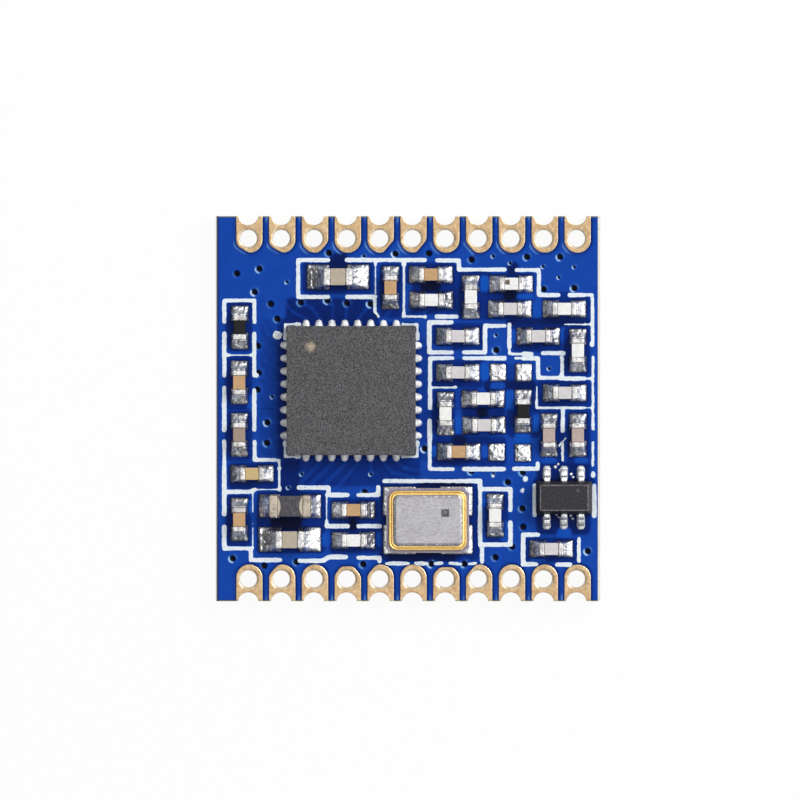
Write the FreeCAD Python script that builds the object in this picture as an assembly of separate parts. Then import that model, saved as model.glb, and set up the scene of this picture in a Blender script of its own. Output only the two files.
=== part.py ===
import FreeCAD, Part
import math
import os
from collections import namedtuple

# A small square radio module with castellated edges, made to be soldered flat on a larger board.
# Lengths are in millimetres. The origin is the centre of the underside. +X runs along the two
# terminal rows, +Y points to the rear row and +Z points to the side that carries the parts.
# Places on the board are in hundredths: across from its left edge and up from its front edge.

# Terminal rows. Each terminal has a plated hole and, at the board's edge, a plated half hole.
# The drill ran a little to the left of the lands in both rows.
terminals_per_row = 11
terminal_pitch = 1.27
terminal_gap = 0.24
terminal_width = terminal_pitch - terminal_gap
terminal_end_setback = 0.91
hole_diameter = 0.68
hole_setback = 0.86
notch_diameter = 0.80
notch_overhang = 0.06
drill_offset = 0.04
plating_thickness = 0.04

# Board. Its left and right edges are scored from both faces and snapped.
left_margin = 0.68
right_margin = 0.27
score_width = 0.10
score_depth = 0.30
board_depth = 14.90
laminate_thickness = 0.92
skin_thickness = 0.04
mask_width = left_margin + (terminals_per_row - 1) * terminal_pitch + terminal_width + right_margin
board_width = mask_width + 2 * score_width
board_thickness = laminate_thickness + 2 * skin_thickness
row_centre = (left_margin - right_margin) / 2

# Printed outlines on the top coat
print_width = 0.135
fine_print_width = 0.09
print_thickness = 0.015
print_clearance = 0.03

# Solder under and beside every part
solder_film = 0.03
solder_climb = 0.55
spare_solder_height = 0.06
seat = board_thickness
seated = seat + solder_film

# Chip parts
small_length = 0.96
small_width = 0.50
small_height = 0.48
small_cap = 0.22
small_land_length = 0.62
small_land_width = 0.66
small_land_gap = 0.42
resistor_height = 0.36
medium_length = 1.12
medium_width = 0.68
medium_height = 0.60
medium_cap = 0.27
medium_land_length = 0.87
medium_land_width = 0.94
medium_land_gap = 0.66
power_length = 1.60
power_width = 0.83
power_height = 0.80
power_cap = 0.32
power_land_length = 0.80
power_land_width = 0.90
power_land_gap = 0.78
cap_wall = 0.015

# Radio chip, a flat leadless package
chip_side = 5.00
chip_height = 0.85
chip_leads_per_side = 8
chip_lead_pitch = 0.50
chip_lead_width = 0.25
chip_lead_length = 0.40
chip_lead_thickness = 0.20
chip_toe_reach = 0.28
ground_pad_side = 3.45
die_side = 2.60
die_thickness = 0.25
chip_across = 35.2
chip_up = 54.7

# Crystal, a ceramic tray closed by a metal lid on a gilt ring
crystal_length = 3.20
crystal_width = 2.50
crystal_base_height = 0.50
crystal_corner_notch = 0.16
crystal_floor = 0.15
crystal_ledge_height = 0.10
crystal_ledge_length = 0.45
ring_inset = 0.10
ring_width = 0.32
ring_height = 0.12
ring_corner = 0.32
lid_inset = 0.16
lid_thickness = 0.09
lid_corner = 0.20
blank_length = 1.70
blank_width = 1.15
blank_thickness = 0.06
blank_clearance = 0.08
crystal_land_length = 1.25
crystal_land_width = 1.12
crystal_land_reach_x = 0.12
crystal_land_reach_y = 0.05
crystal_across = 55.1
crystal_up = 21.0

# Antenna switch, a small package on six gull-wing leads
switch_length = 2.17
switch_width = 1.30
switch_top_length = 1.85
switch_top_width = 1.00
switch_foot_length = 2.05
switch_foot_width = 1.18
switch_height = 0.95
switch_standoff = 0.05
switch_span = 2.20
switch_leads_per_side = 3
switch_lead_pitch = 0.66
switch_lead_width = 0.24
switch_lead_thickness = 0.14
switch_lead_foot = 0.24
switch_lead_root = 0.15
switch_toe_reach = 0.14
switch_across = 90.5
switch_up = 26.9

# Round stretches are drawn as flats, because the same few curves repeat by the dozen.
hole_flats = 8
end_flats = 5
corner_flats = 3

ChipSize = namedtuple("ChipSize", "length width height cap land_length land_width land_gap")
ChipPart = namedtuple("ChipPart", "name size across up turn")

small_lands = (small_land_length, small_land_width, small_land_gap)
small = ChipSize(small_length, small_width, small_height, small_cap, *small_lands)
flat = ChipSize(small_length, small_width, resistor_height, small_cap, *small_lands)
medium = ChipSize(medium_length, medium_width, medium_height, medium_cap,
                  medium_land_length, medium_land_width, medium_land_gap)
power = ChipSize(power_length, power_width, power_height, power_cap,
                 power_land_length, power_land_width, power_land_gap)

# Where each chip part sits, and how far it is turned from lying along X
chip_parts = [
    ChipPart("capacitor_01", medium, 31.7, 84.2, 0),
    ChipPart("capacitor_02", small, 45.4, 81.4, 90),
    ChipPart("capacitor_03", small, 55.9, 84.8, 0),
    ChipPart("capacitor_04", small, 76.5, 75.9, 0),
    ChipPart("capacitor_05", small, 62.9, 68.8, 0),
    ChipPart("capacitor_06", small, 83.8, 68.8, 0),
    ChipPart("capacitor_07", small, 62.9, 59.4, 0),
    ChipPart("capacitor_08", small, 90.7, 54.1, 0),
    ChipPart("capacitor_09", small, 69.7, 45.7, 0),
    ChipPart("capacitor_10", small, 63.1, 38.8, 0),
    ChipPart("capacitor_11", small, 86.6, 43.1, 90),
    ChipPart("capacitor_12", small, 94.1, 43.1, 90),
    ChipPart("capacitor_13", small, 87.2, 13.6, 0),
    ChipPart("capacitor_14", small, 6.1, 56.8, 90),
    ChipPart("capacitor_15", small, 6.1, 43.2, 90),
    ChipPart("capacitor_16", small, 9.4, 33.1, 0),
    ChipPart("capacitor_17", small, 6.1, 21.2, 90),
    ChipPart("capacitor_18", medium, 19.2, 16.0, 0),
    ChipPart("capacitor_19", small, 35.8, 23.7, 0),
    ChipPart("inductor_01", small, 56.0, 78.2, 0),
    ChipPart("inductor_02", small, 66.3, 79.0, 90),
    ChipPart("inductor_03", small, 76.8, 82.4, 0),
    ChipPart("inductor_04", small, 90.6, 75.9, 0),
    ChipPart("inductor_05", small, 94.1, 65.1, 90),
    ChipPart("inductor_06", small, 69.5, 52.6, 0),
    ChipPart("inductor_07", small, 59.7, 48.7, 90),
    ChipPart("inductor_08", small, 72.6, 22.3, 90),
    ChipPart("inductor_09", small, 35.8, 15.8, 0),
    ChipPart("power_inductor", power, 19.3, 24.7, 0),
    ChipPart("resistor_01", flat, 6.2, 71.1, 90),
    ChipPart("resistor_02", flat, 79.9, 49.3, 90),
]
spare_land_places = [(73.3, 59.4), (80.0, 59.4), (73.0, 38.7), (79.8, 38.5)]

# The printed outlines, each as the corners of one pen stroke
print_strokes = [
    [(2.2, 72.6), (2.2, 78.1), (10.0, 78.1), (10.0, 72.5)],
    [(2.2, 69.5), (2.2, 58.6)],
    [(10.0, 69.5), (10.0, 58.6), (10.7, 58.6)],
    [(2.2, 55.5), (2.2, 44.5)],
    [(10.0, 54.8), (10.0, 44.5)],
    [(2.2, 41.5), (2.2, 22.6)],
    [(10.1, 41.4), (10.1, 36.7), (16.5, 36.7), (16.5, 29.0)],
    [(2.2, 28.4), (9.6, 28.4)],
    [(2.2, 19.3), (2.2, 13.7), (9.1, 13.7), (9.1, 10.7), (16.7, 10.7)],
    [(29.2, 88.6), (21.4, 88.6), (21.4, 79.0), (29.2, 79.0)],
    [(34.1, 88.6), (54.4, 88.6)],
    [(34.1, 79.0), (41.5, 79.0), (41.5, 75.1), (42.3, 73.9)],
    [(48.9, 88.6), (48.9, 73.9), (54.3, 73.9)],
    [(57.5, 88.5), (63.2, 88.5), (63.2, 86.1), (75.1, 86.1)],
    [(57.5, 73.9), (62.6, 73.9)],
    [(61.3, 72.4), (55.5, 72.4), (55.5, 64.6), (61.4, 64.6)],
    [(64.5, 64.6), (70.0, 64.6), (70.0, 71.5), (75.1, 71.5)],
    [(76.3, 71.9), (76.3, 64.2), (82.1, 64.2)],
    [(85.0, 64.4), (90.4, 64.4)],
    [(78.2, 86.0), (84.0, 86.0), (84.0, 79.5), (89.1, 79.5)],
    [(92.0, 79.5), (97.8, 79.5), (97.8, 66.6)],
    [(98.0, 63.3), (98.0, 44.7)],
    [(61.6, 63.1), (55.7, 63.1), (55.7, 50.2)],
    [(64.5, 63.1), (75.2, 63.1)],
    [(77.9, 63.1), (83.8, 63.1), (83.8, 58.0), (89.1, 58.0)],
    [(89.9, 63.3), (89.9, 57.8), (98.0, 57.8)],
    [(90.2, 50.2), (90.2, 44.3)],
    [(90.2, 41.2), (90.2, 36.5)],
    [(98.0, 41.2), (98.0, 35.2)],
    [(98.4, 30.1), (98.4, 22.2)],
    [(82.9, 30.1), (82.9, 22.4)],
    [(55.6, 46.9), (55.6, 34.3), (61.6, 34.3)],
    [(64.5, 34.3), (74.9, 34.3)],
    [(77.6, 34.4), (83.7, 34.4), (83.7, 35.8)],
    [(43.8, 31.2), (68.7, 31.2), (68.7, 14.6)],
    [(68.7, 29.1), (76.6, 29.1), (76.6, 23.7)],
    [(76.6, 20.4), (76.6, 14.7), (69.2, 14.7), (69.2, 10.2)],
    [(83.8, 17.3), (79.9, 17.3), (79.9, 9.6), (83.3, 9.6)],
    [(88.7, 9.5), (92.1, 9.5)],
    [(21.6, 29.5), (29.3, 29.5), (29.3, 27.6), (34.2, 27.6)],
    [(28.8, 19.5), (34.3, 19.5)],
    [(37.1, 19.5), (42.6, 19.5)],
    [(37.1, 27.6), (42.2, 27.6), (42.2, 29.7)],
    [(21.8, 10.5), (28.0, 10.5), (29.4, 11.5), (33.8, 11.5)],
    [(37.1, 11.3), (42.6, 11.3), (42.6, 10.4)],
]
fine_print_strokes = [
    [(2.2, 63.9), (10.0, 63.9)],
    [(16.5, 29.0), (9.6, 29.0), (9.6, 23.0)],
    [(9.6, 19.1), (9.6, 13.7)],
    [(41.5, 88.6), (41.5, 79.9)],
    [(90.6, 71.9), (97.8, 71.9)],
    [(55.7, 55.6), (62.5, 55.6)],
    [(83.4, 55.7), (83.4, 50.2), (98.0, 50.2)],
    [(94.4, 16.4), (94.4, 10.4)],
    [(28.8, 27.6), (28.8, 19.5)],
]
chip_bracket_reach = 0.55
chip_bracket_offset = 0.06
pin_one_dot_diameter = 0.36
pin_one_dot_offset = 0.35
dot_flats = 8


def spot(across, up):
    """The x and y of a place given in hundredths of the board."""
    return board_width * (across / 100 - 0.5), board_depth * (up / 100 - 0.5)


def arc(x, y, radius, start, sweep, flats):
    """The corners of a round stretch drawn as flats; angles are in degrees."""
    angles = [math.radians(start + sweep * i / flats) for i in range(flats + 1)]
    return [(x + radius * math.cos(a), y + radius * math.sin(a)) for a in angles]


def round_outline(x, y, radius, flats):
    """A circle drawn as a regular polygon of the same area, with one flat facing along Y."""
    step = 2 * math.pi / flats
    corner_radius = radius * math.sqrt(step / math.sin(step))
    return arc(x, y, corner_radius, 90 + 180 / flats, 360, flats)[:-1]


def rounded_rectangle(length, width, radius):
    """A rectangle about the origin with round corners."""
    corners = []
    for start, side_x, side_y in ((0, 1, 1), (90, -1, 1), (180, -1, -1), (270, 1, -1)):
        x = side_x * (length / 2 - radius)
        y = side_y * (width / 2 - radius)
        corners += arc(x, y, radius, start, 90, corner_flats)
    return corners


def notched_rectangle(length, width, radius):
    """A rectangle about the origin with a quarter-round notch at each corner."""
    corners = []
    for start, side_x, side_y in ((270, 1, 1), (0, -1, 1), (90, -1, -1), (180, 1, -1)):
        corners += arc(side_x * length / 2, side_y * width / 2, radius, start, -90, corner_flats)
    return corners


def prism(outline, bottom, height):
    """Extrude a closed outline of (x, y) corners straight up."""
    corners = [FreeCAD.Vector(x, y, bottom) for x, y in outline]
    return Part.Face(Part.makePolygon(corners + corners[:1])).extrude(FreeCAD.Vector(0, 0, height))


def profile_bar(profile, width):
    """Extrude an outline of (x, z) corners along Y, centred on the XZ plane."""
    corners = [FreeCAD.Vector(x, -width / 2, z) for x, z in profile]
    return Part.Face(Part.makePolygon(corners + corners[:1])).extrude(FreeCAD.Vector(0, width, 0))


def block(length, width, bottom, height, x=0.0, y=0.0):
    """A plain block centred on (x, y)."""
    return Part.makeBox(length, width, height, FreeCAD.Vector(x - length / 2, y - width / 2, bottom))


def placed(shape, x, y, turn=0.0):
    """A copy of a shape turned about Z at its own origin, then moved."""
    copy = shape.copy()
    copy.rotate(FreeCAD.Vector(0, 0, 0), FreeCAD.Vector(0, 0, 1), turn)
    copy.translate(FreeCAD.Vector(x, y, 0))
    return copy


def save(name, shapes):
    """Write the solids of some shapes as one node."""
    solids = [solid for shape in shapes for solid in shape.Solids]
    node = solids[0] if len(solids) == 1 else Part.makeCompound(solids)
    node.exportStep(f"parts/{name}.step")


def terminal_row(shape, rear):
    """Copies of a shape, made with its origin on the board's edge, along one row."""
    edge = board_depth / 2 if rear else -board_depth / 2
    turn = 180 if rear else 0
    first = row_centre - (terminals_per_row - 1) * terminal_pitch / 2
    return [placed(shape, first + i * terminal_pitch, edge, turn) for i in range(terminals_per_row)]


def both_rows(shape):
    """Copies of a shape along the front and the rear row."""
    return terminal_row(shape, False) + terminal_row(shape, True)


def terminal_outline():
    """A land from above: straight sides from the board's edge and a round inner end."""
    half = terminal_width / 2
    return [(half, 0)] + arc(0, terminal_end_setback, half, 0, 180, end_flats) + [(-half, 0)]


def bored(clearance, rear):
    """The hole and the edge notch of a row's terminal as plugs, grown by the given amount."""
    x = drill_offset if rear else -drill_offset
    hole = round_outline(x, hole_setback, hole_diameter / 2 + clearance, hole_flats)
    notch = round_outline(x, -notch_overhang, notch_diameter / 2 + clearance, hole_flats)
    return [prism(outline, 0, board_thickness) for outline in (hole, notch)]


def edge_terminal(rear):
    """One terminal: a land above, a land below, and the two plated walls that join them."""
    outline = terminal_outline()
    upper_land = prism(outline, board_thickness - skin_thickness, skin_thickness)
    lower_land = prism(outline, 0, skin_thickness)
    hole_wall, notch_wall = bored(plating_thickness, rear)
    inside = block(terminal_pitch, terminal_pitch, 0, board_thickness, 0, terminal_pitch / 2)
    copper = lower_land.fuse([upper_land, hole_wall, notch_wall.common(inside)])
    return copper.cut(bored(0, rear)).removeSplitter()


def laminate():
    """The glass-epoxy board, bored for the terminals and snapped along its scored sides."""
    low = skin_thickness
    high = low + laminate_thickness
    side = [(0, low), (score_width, low + score_depth), (score_width, high - score_depth), (0, high)]
    right = [(mask_width / 2 + x, z) for x, z in side]
    left = [(-x, z) for x, z in reversed(right)]
    blank = profile_bar(right + left, board_depth)
    plugs = [terminal_row(plug, rear) for rear in (False, True) for plug in bored(plating_thickness, rear)]
    return blank.cut([plug for row in plugs for plug in row])


def solder_mask(bottom):
    """One coat of the board, open around every terminal."""
    coat = block(mask_width, board_depth, bottom, skin_thickness)
    return coat.cut(both_rows(prism(terminal_outline(), bottom, skin_thickness)))


def pen_stroke(corners, width):
    """One printed line of even width: square ends and mitred corners, as a flat solid."""
    places = [complex(x, y) for x, y in corners]
    runs = [b - a for a, b in zip(places, places[1:])]
    sides = [1j * run / abs(run) * width / 2 for run in runs]
    left, right = [], []
    for i, place in enumerate(places):
        before = sides[max(i - 1, 0)]
        after = sides[min(i, len(sides) - 1)]
        overlap = (before * after.conjugate()).real / (width / 2) ** 2
        mitre = (before + after) / (1 + overlap)
        if i == 0:
            place += 1j * after
        if i == len(sides):
            place -= 1j * before
        left.append(place + mitre)
        right.append(place - mitre)
    outline = [(corner.real, corner.imag) for corner in left + right[::-1]]
    return prism(outline, seat, print_thickness)


def chip_brackets():
    """The printed corner marks of the radio chip and the dot beside its first lead."""
    x, y = spot(chip_across, chip_up)
    far = chip_side / 2 + chip_bracket_offset
    near = far - chip_bracket_reach
    marks = []
    for side_x, side_y in ((1, 1), (-1, 1), (-1, -1), (1, -1)):
        corners = [(near, far), (far, far), (far, near)]
        corners = [(x + side_x * u, y + side_y * v) for u, v in corners]
        marks.append(pen_stroke(corners, print_width))
    dot_x = x - chip_side / 2 - pin_one_dot_offset
    dot_y = y + chip_side / 2 - pin_one_dot_offset
    dot = round_outline(dot_x, dot_y, pin_one_dot_diameter / 2, dot_flats)
    return marks + [prism(dot, seat, print_thickness)]


def print_window(joint):
    """The plain rectangle that the print keeps clear of around one tinned land."""
    box = joint.BoundBox
    length = box.XLength + 2 * print_clearance
    width = box.YLength + 2 * print_clearance
    return block(length, width, seat, print_thickness, box.Center.x, box.Center.y)


def outline_print():
    """All printed outlines, joined where strokes meet and trimmed clear of the tinned lands."""
    strokes = [pen_stroke([spot(*c) for c in corners], print_width) for corners in print_strokes]
    strokes += [pen_stroke([spot(*c) for c in corners], fine_print_width) for corners in fine_print_strokes]
    strokes += chip_brackets()
    windows = [print_window(joint) for joint in all_joints()]
    return strokes[0].fuse(strokes[1:]).removeSplitter().cut(windows)


def chip_body(size):
    """The ceramic between the two end caps, a cap's wall inside their faces."""
    length = size.length - 2 * size.cap
    return block(length, size.width - 2 * cap_wall, seated + cap_wall, size.height - 2 * cap_wall)


def end_caps(size):
    """The two plated ends."""
    x = (size.length - size.cap) / 2
    return [block(size.cap, size.width, seated, size.height, side * x) for side in (-1, 1)]


def end_joints(size):
    """The two tinned lands, each with solder that climbs a plated end and thins out under it."""
    inner = size.land_gap / 2
    outer = inner + size.land_length
    end = size.length / 2
    top = seated + size.height * solder_climb
    profile = [(inner, seat), (outer, seat), (end, top), (end, seated)]
    joint = profile_bar(profile, size.land_width)
    return [joint, placed(joint, 0, 0, 180)]


def on_board(part, shapes):
    """Put shapes made at the origin where a chip part sits."""
    x, y = spot(part.across, part.up)
    return [placed(shape, x, y, part.turn) for shape in shapes]


def chip_part_joints():
    """The joints of all chip parts, where they lie."""
    return [joint for part in chip_parts for joint in on_board(part, end_joints(part.size))]


def spare_lands():
    """Tinned lands with no part on them."""
    land = block(small_land_length, small_land_width, seat, spare_solder_height)
    return [placed(land, *spot(*place)) for place in spare_land_places]


def around_chip(shape):
    """Copies of a shape, made at the middle of the right side, for every lead of the chip."""
    first = -(chip_leads_per_side - 1) * chip_lead_pitch / 2
    side = [placed(shape, 0, first + i * chip_lead_pitch) for i in range(chip_leads_per_side)]
    return [placed(copy, 0, 0, turn) for turn in (0, 90, 180, 270) for copy in side]


def chip_leads():
    """The 32 leads, flush with the package's underside and sides."""
    x = (chip_side - chip_lead_length) / 2
    return around_chip(block(chip_lead_length, chip_lead_width, seated, chip_lead_thickness, x))


def chip_ground_pad():
    """The bare metal pad in the middle of the chip's underside."""
    return block(ground_pad_side, ground_pad_side, seated, chip_lead_thickness)


def chip_die():
    """The silicon that sits on the ground pad, inside the moulding."""
    return block(die_side, die_side, seated + chip_lead_thickness, die_thickness)


def chip_package():
    """The moulding, cast around the leads, the ground pad and the silicon."""
    moulding = block(chip_side, chip_side, seated, chip_height)
    return moulding.cut(chip_leads() + [chip_ground_pad(), chip_die()])


def chip_solder():
    """A toe of solder for each lead, thinning out under it, and a film for the ground pad."""
    edge = chip_side / 2
    inner = edge - chip_lead_length
    outer = edge + chip_toe_reach
    top = seated + chip_lead_thickness
    profile = [(inner, seat), (outer, seat), (edge, top), (edge, seated)]
    toes = around_chip(profile_bar(profile, chip_lead_width))
    return toes + [block(ground_pad_side, ground_pad_side, seat, solder_film)]


def crystal_opening(bottom, height):
    """The room inside the crystal's tray and ring."""
    length = crystal_length - 2 * (ring_inset + ring_width)
    width = crystal_width - 2 * (ring_inset + ring_width)
    return block(length, width, bottom, height)


def crystal_base():
    """The ceramic tray: notched corners, a floor, and a ledge that holds the quartz."""
    tray = prism(notched_rectangle(crystal_length, crystal_width, crystal_corner_notch),
                 seated, crystal_base_height)
    floor = seated + crystal_floor
    room = crystal_opening(floor, crystal_base_height)
    wall = -crystal_length / 2 + ring_inset + ring_width
    ledge = block(crystal_ledge_length, crystal_width, floor, crystal_ledge_height,
                  wall + crystal_ledge_length / 2)
    return tray.cut(room.cut(ledge))


def crystal_blank():
    """The quartz, carried at one end on the tray's ledge."""
    wall = -crystal_length / 2 + ring_inset + ring_width
    bottom = seated + crystal_floor + crystal_ledge_height
    x = wall + blank_clearance + blank_length / 2
    return block(blank_length, blank_width, bottom, blank_thickness, x)


def crystal_ring():
    """The gilt ring brazed on the tray's rim."""
    bottom = seated + crystal_base_height
    outer = rounded_rectangle(crystal_length - 2 * ring_inset, crystal_width - 2 * ring_inset, ring_corner)
    return prism(outer, bottom, ring_height).cut(crystal_opening(bottom, ring_height))


def crystal_lid():
    """The lid, welded on the ring and smaller all round."""
    inset = ring_inset + lid_inset
    outline = rounded_rectangle(crystal_length - 2 * inset, crystal_width - 2 * inset, lid_corner)
    return prism(outline, seated + crystal_base_height + ring_height, lid_thickness)


def crystal_solder():
    """The four tinned lands under the tray's corners."""
    x = crystal_length / 2 + crystal_land_reach_x - crystal_land_length / 2
    y = crystal_width / 2 + crystal_land_reach_y - crystal_land_width / 2
    land = block(crystal_land_length, crystal_land_width, seat, solder_film)
    return [placed(land, i * x, j * y) for i in (-1, 1) for j in (-1, 1)]


def both_switch_sides(shape):
    """Copies of a shape, made at the middle of the rear side, for every lead of the switch."""
    first = -(switch_leads_per_side - 1) * switch_lead_pitch / 2
    side = [placed(shape, first + i * switch_lead_pitch, 0) for i in range(switch_leads_per_side)]
    return [placed(copy, 0, 0, turn) for turn in (0, 180) for copy in side]


def switch_leads():
    """Six gull-wing leads: out of the moulding's waist, down, and out again as a foot."""
    waist = seated + switch_standoff + (switch_height - switch_standoff + switch_lead_thickness) / 2
    tip = switch_span / 2
    heel = tip - switch_lead_foot
    root = switch_width / 2 - switch_lead_root
    thick = switch_lead_thickness
    profile = [(root, waist), (heel, waist), (heel, seated + thick), (tip, seated + thick), (tip, seated),
               (heel - thick, seated), (heel - thick, waist - thick), (root, waist - thick)]
    return both_switch_sides(placed(profile_bar(profile, switch_lead_width), 0, 0, 90))


def switch_package():
    """The moulding: a foot and a top that both taper away from the waist."""
    bottom = seated + switch_standoff
    top = seated + switch_height
    levels = ((switch_foot_length, switch_foot_width, bottom),
              (switch_length, switch_width, (bottom + top) / 2),
              (switch_top_length, switch_top_width, top))
    rims = []
    for length, width, height in levels:
        rim = block(length, width, height, switch_height).Faces
        rims.append(min(rim, key=lambda face: face.CenterOfMass.z).OuterWire)
    return Part.makeLoft(rims, True, True).cut(switch_leads())


def switch_solder():
    """A tinned land under each foot, with solder at its tip."""
    tip = switch_span / 2
    inner = tip - switch_lead_foot - switch_lead_thickness
    outer = tip + switch_toe_reach
    top = seated + switch_lead_thickness
    profile = [(inner, seat), (outer, seat), (tip, top), (tip, seated), (inner, seated)]
    return both_switch_sides(placed(profile_bar(profile, switch_lead_width), 0, 0, 90))


def at_spot(shapes, across, up):
    """Copies of shapes, made at the origin, at a place on the board."""
    x, y = spot(across, up)
    return [placed(shape, x, y) for shape in shapes]


def all_joints():
    """Every tinned land with its solder, where it lies."""
    joints = at_spot(chip_solder(), chip_across, chip_up)
    joints += at_spot(crystal_solder(), crystal_across, crystal_up)
    joints += at_spot(switch_solder(), switch_across, switch_up)
    return joints + chip_part_joints() + spare_lands()


def save_board():
    save("laminate", [laminate()])
    save("solder_mask_top", [solder_mask(board_thickness - skin_thickness)])
    save("solder_mask_bottom", [solder_mask(0)])
    save("outline_print", [outline_print()])
    save("front_edge_terminals", terminal_row(edge_terminal(False), False))
    save("rear_edge_terminals", terminal_row(edge_terminal(True), True))


def save_group(name, shapes, across, up):
    """Write shapes made at the origin as one node at a place on the board."""
    save(name, at_spot(shapes, across, up))


def save_radio_chip():
    save_group("radio_chip_package", [chip_package()], chip_across, chip_up)
    save_group("radio_chip_leads", chip_leads(), chip_across, chip_up)
    save_group("radio_chip_ground_pad", [chip_ground_pad()], chip_across, chip_up)
    save_group("radio_chip_die", [chip_die()], chip_across, chip_up)
    save_group("radio_chip_solder", chip_solder(), chip_across, chip_up)


def save_crystal():
    save_group("crystal_base", [crystal_base()], crystal_across, crystal_up)
    save_group("crystal_quartz_blank", [crystal_blank()], crystal_across, crystal_up)
    save_group("crystal_seal_ring", [crystal_ring()], crystal_across, crystal_up)
    save_group("crystal_lid", [crystal_lid()], crystal_across, crystal_up)
    save_group("crystal_solder", crystal_solder(), crystal_across, crystal_up)


def save_antenna_switch():
    save_group("antenna_switch_package", [switch_package()], switch_across, switch_up)
    save_group("antenna_switch_leads", switch_leads(), switch_across, switch_up)
    save_group("antenna_switch_solder", switch_solder(), switch_across, switch_up)


def save_chip_parts():
    """Each ceramic body is its own node; plated ends and joints are grouped by kind."""
    caps = {"capacitor": [], "inductor": [], "resistor": []}
    for part in chip_parts:
        save(part.name, on_board(part, [chip_body(part.size)]))
        kind = next(kind for kind in caps if kind in part.name)
        caps[kind] += on_board(part, end_caps(part.size))
    for kind, solids in caps.items():
        save(f"{kind}_end_caps", solids)
    save("chip_part_solder", chip_part_joints())
    save("spare_lands", spare_lands())


os.makedirs("parts", exist_ok=True)
save_board()
save_radio_chip()
save_crystal()
save_antenna_switch()
save_chip_parts()
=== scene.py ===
"""The looks of a small radio module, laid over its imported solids.

Lengths are in millimetres, apart from those that a user may change, which Blender keeps in metres.
"""

import math

import bmesh
import bpy
import numpy as np
from bpy.props import FloatProperty, FloatVectorProperty, PointerProperty
from mathutils import Matrix, Vector


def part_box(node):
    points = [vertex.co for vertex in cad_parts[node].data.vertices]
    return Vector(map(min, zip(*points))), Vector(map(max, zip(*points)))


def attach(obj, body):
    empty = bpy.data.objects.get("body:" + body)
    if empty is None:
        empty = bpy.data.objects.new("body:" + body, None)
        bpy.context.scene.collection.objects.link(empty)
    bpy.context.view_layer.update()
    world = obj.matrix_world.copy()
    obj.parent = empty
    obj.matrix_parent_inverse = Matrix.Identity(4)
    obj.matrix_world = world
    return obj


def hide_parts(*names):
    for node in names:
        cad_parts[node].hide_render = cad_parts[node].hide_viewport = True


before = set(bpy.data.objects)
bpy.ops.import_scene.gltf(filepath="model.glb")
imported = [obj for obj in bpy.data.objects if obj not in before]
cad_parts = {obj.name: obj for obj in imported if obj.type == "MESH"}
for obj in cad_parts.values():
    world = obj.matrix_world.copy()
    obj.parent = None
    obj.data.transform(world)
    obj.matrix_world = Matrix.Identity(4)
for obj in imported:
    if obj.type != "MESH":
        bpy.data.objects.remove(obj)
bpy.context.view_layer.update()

bl_info = {
    "name": "Radio module dressing",
    "version": (1, 0, 0),
    "blender": (4, 5, 0),
    "location": "3D View > Sidebar > Radio module",
    "description": "Coats, terminals, print, solder and parts of a castellated radio module",
    "category": "Object",
}

METRE = 1000.0

# Steps to a millimetre at which points count as one place: corners of CAD nodes, and points of new shapes
CAD_STEPS = 1e4
WELD_STEPS = 2e4


def srgb(red, green, blue):
    """A screen colour, given from 0 to 255, as the linear colour that a shader takes."""
    parts = [channel / 255 for channel in (red, green, blue)]
    return tuple(p / 12.92 if p <= 0.04045 else ((p + 0.055) / 1.055) ** 2.4 for p in parts)


def colour_property(name, description, red, green, blue):
    """A colour that a user may change."""
    return FloatVectorProperty(name=name, description=description, subtype="COLOR", size=3,
                               min=0.0, max=1.0, default=srgb(red, green, blue))


def length_property(name, description, millimetres):
    """A length that a user may change."""
    return FloatProperty(name=name, description=description, subtype="DISTANCE", unit="LENGTH",
                         min=0.0, precision=6, default=millimetres / METRE)


def strength_property(name, description, default):
    """A strength of light that a user may change."""
    return FloatProperty(name=name, description=description, default=default, min=0.0)


# Where the CAD solids are


def box_of(node):
    """The lowest and the highest corner of a CAD node, in millimetres."""
    low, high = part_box(node)
    return np.array(low) * METRE, np.array(high) * METRE


def mesh_of(node):
    """The corner points of a CAD node in millimetres, joined where they meet, and its triangles."""
    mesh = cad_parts[node].data
    points = np.empty(len(mesh.vertices) * 3, np.float32)
    mesh.vertices.foreach_get("co", points)
    corners = np.empty(len(mesh.loops), np.int32)
    mesh.loops.foreach_get("vertex_index", corners)
    keys = np.round(points.reshape(-1, 3).astype(float) * METRE * CAD_STEPS).astype(np.int64)
    places, back = np.unique(keys, axis=0, return_inverse=True)
    return places / CAD_STEPS, back.ravel()[corners].reshape(-1, 3)


def solids_of(node):
    """The corner points of each separate solid of a CAD node. Every point starts with its own label and takes
    the lowest label of the triangles that it belongs to, until no label changes."""
    points, triangles = mesh_of(node)
    label = np.arange(len(points))
    settled = False
    while not settled:
        lowest = label[triangles].min(axis=1)
        spread = label.copy()
        np.minimum.at(spread, triangles, lowest[:, None])
        settled = bool((spread == label).all())
        label = spread
    return [points[label == k] for k in np.unique(label)]


def boxes_of(node):
    """The lowest and the highest corner of each separate solid of a CAD node."""
    return [(points.min(0), points.max(0)) for points in solids_of(node)]


board_low, board_high = box_of("laminate")
coat_low, coat_high = box_of("solder_mask_top")
SEAT = coat_high[2]


def spot(across, up):
    """The x and y of a place given in hundredths of the board."""
    x = board_low[0] + (board_high[0] - board_low[0]) * np.asarray(across) / 100
    y = board_low[1] + (board_high[1] - board_low[1]) * np.asarray(up) / 100
    return x, y


# Surfaces


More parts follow.
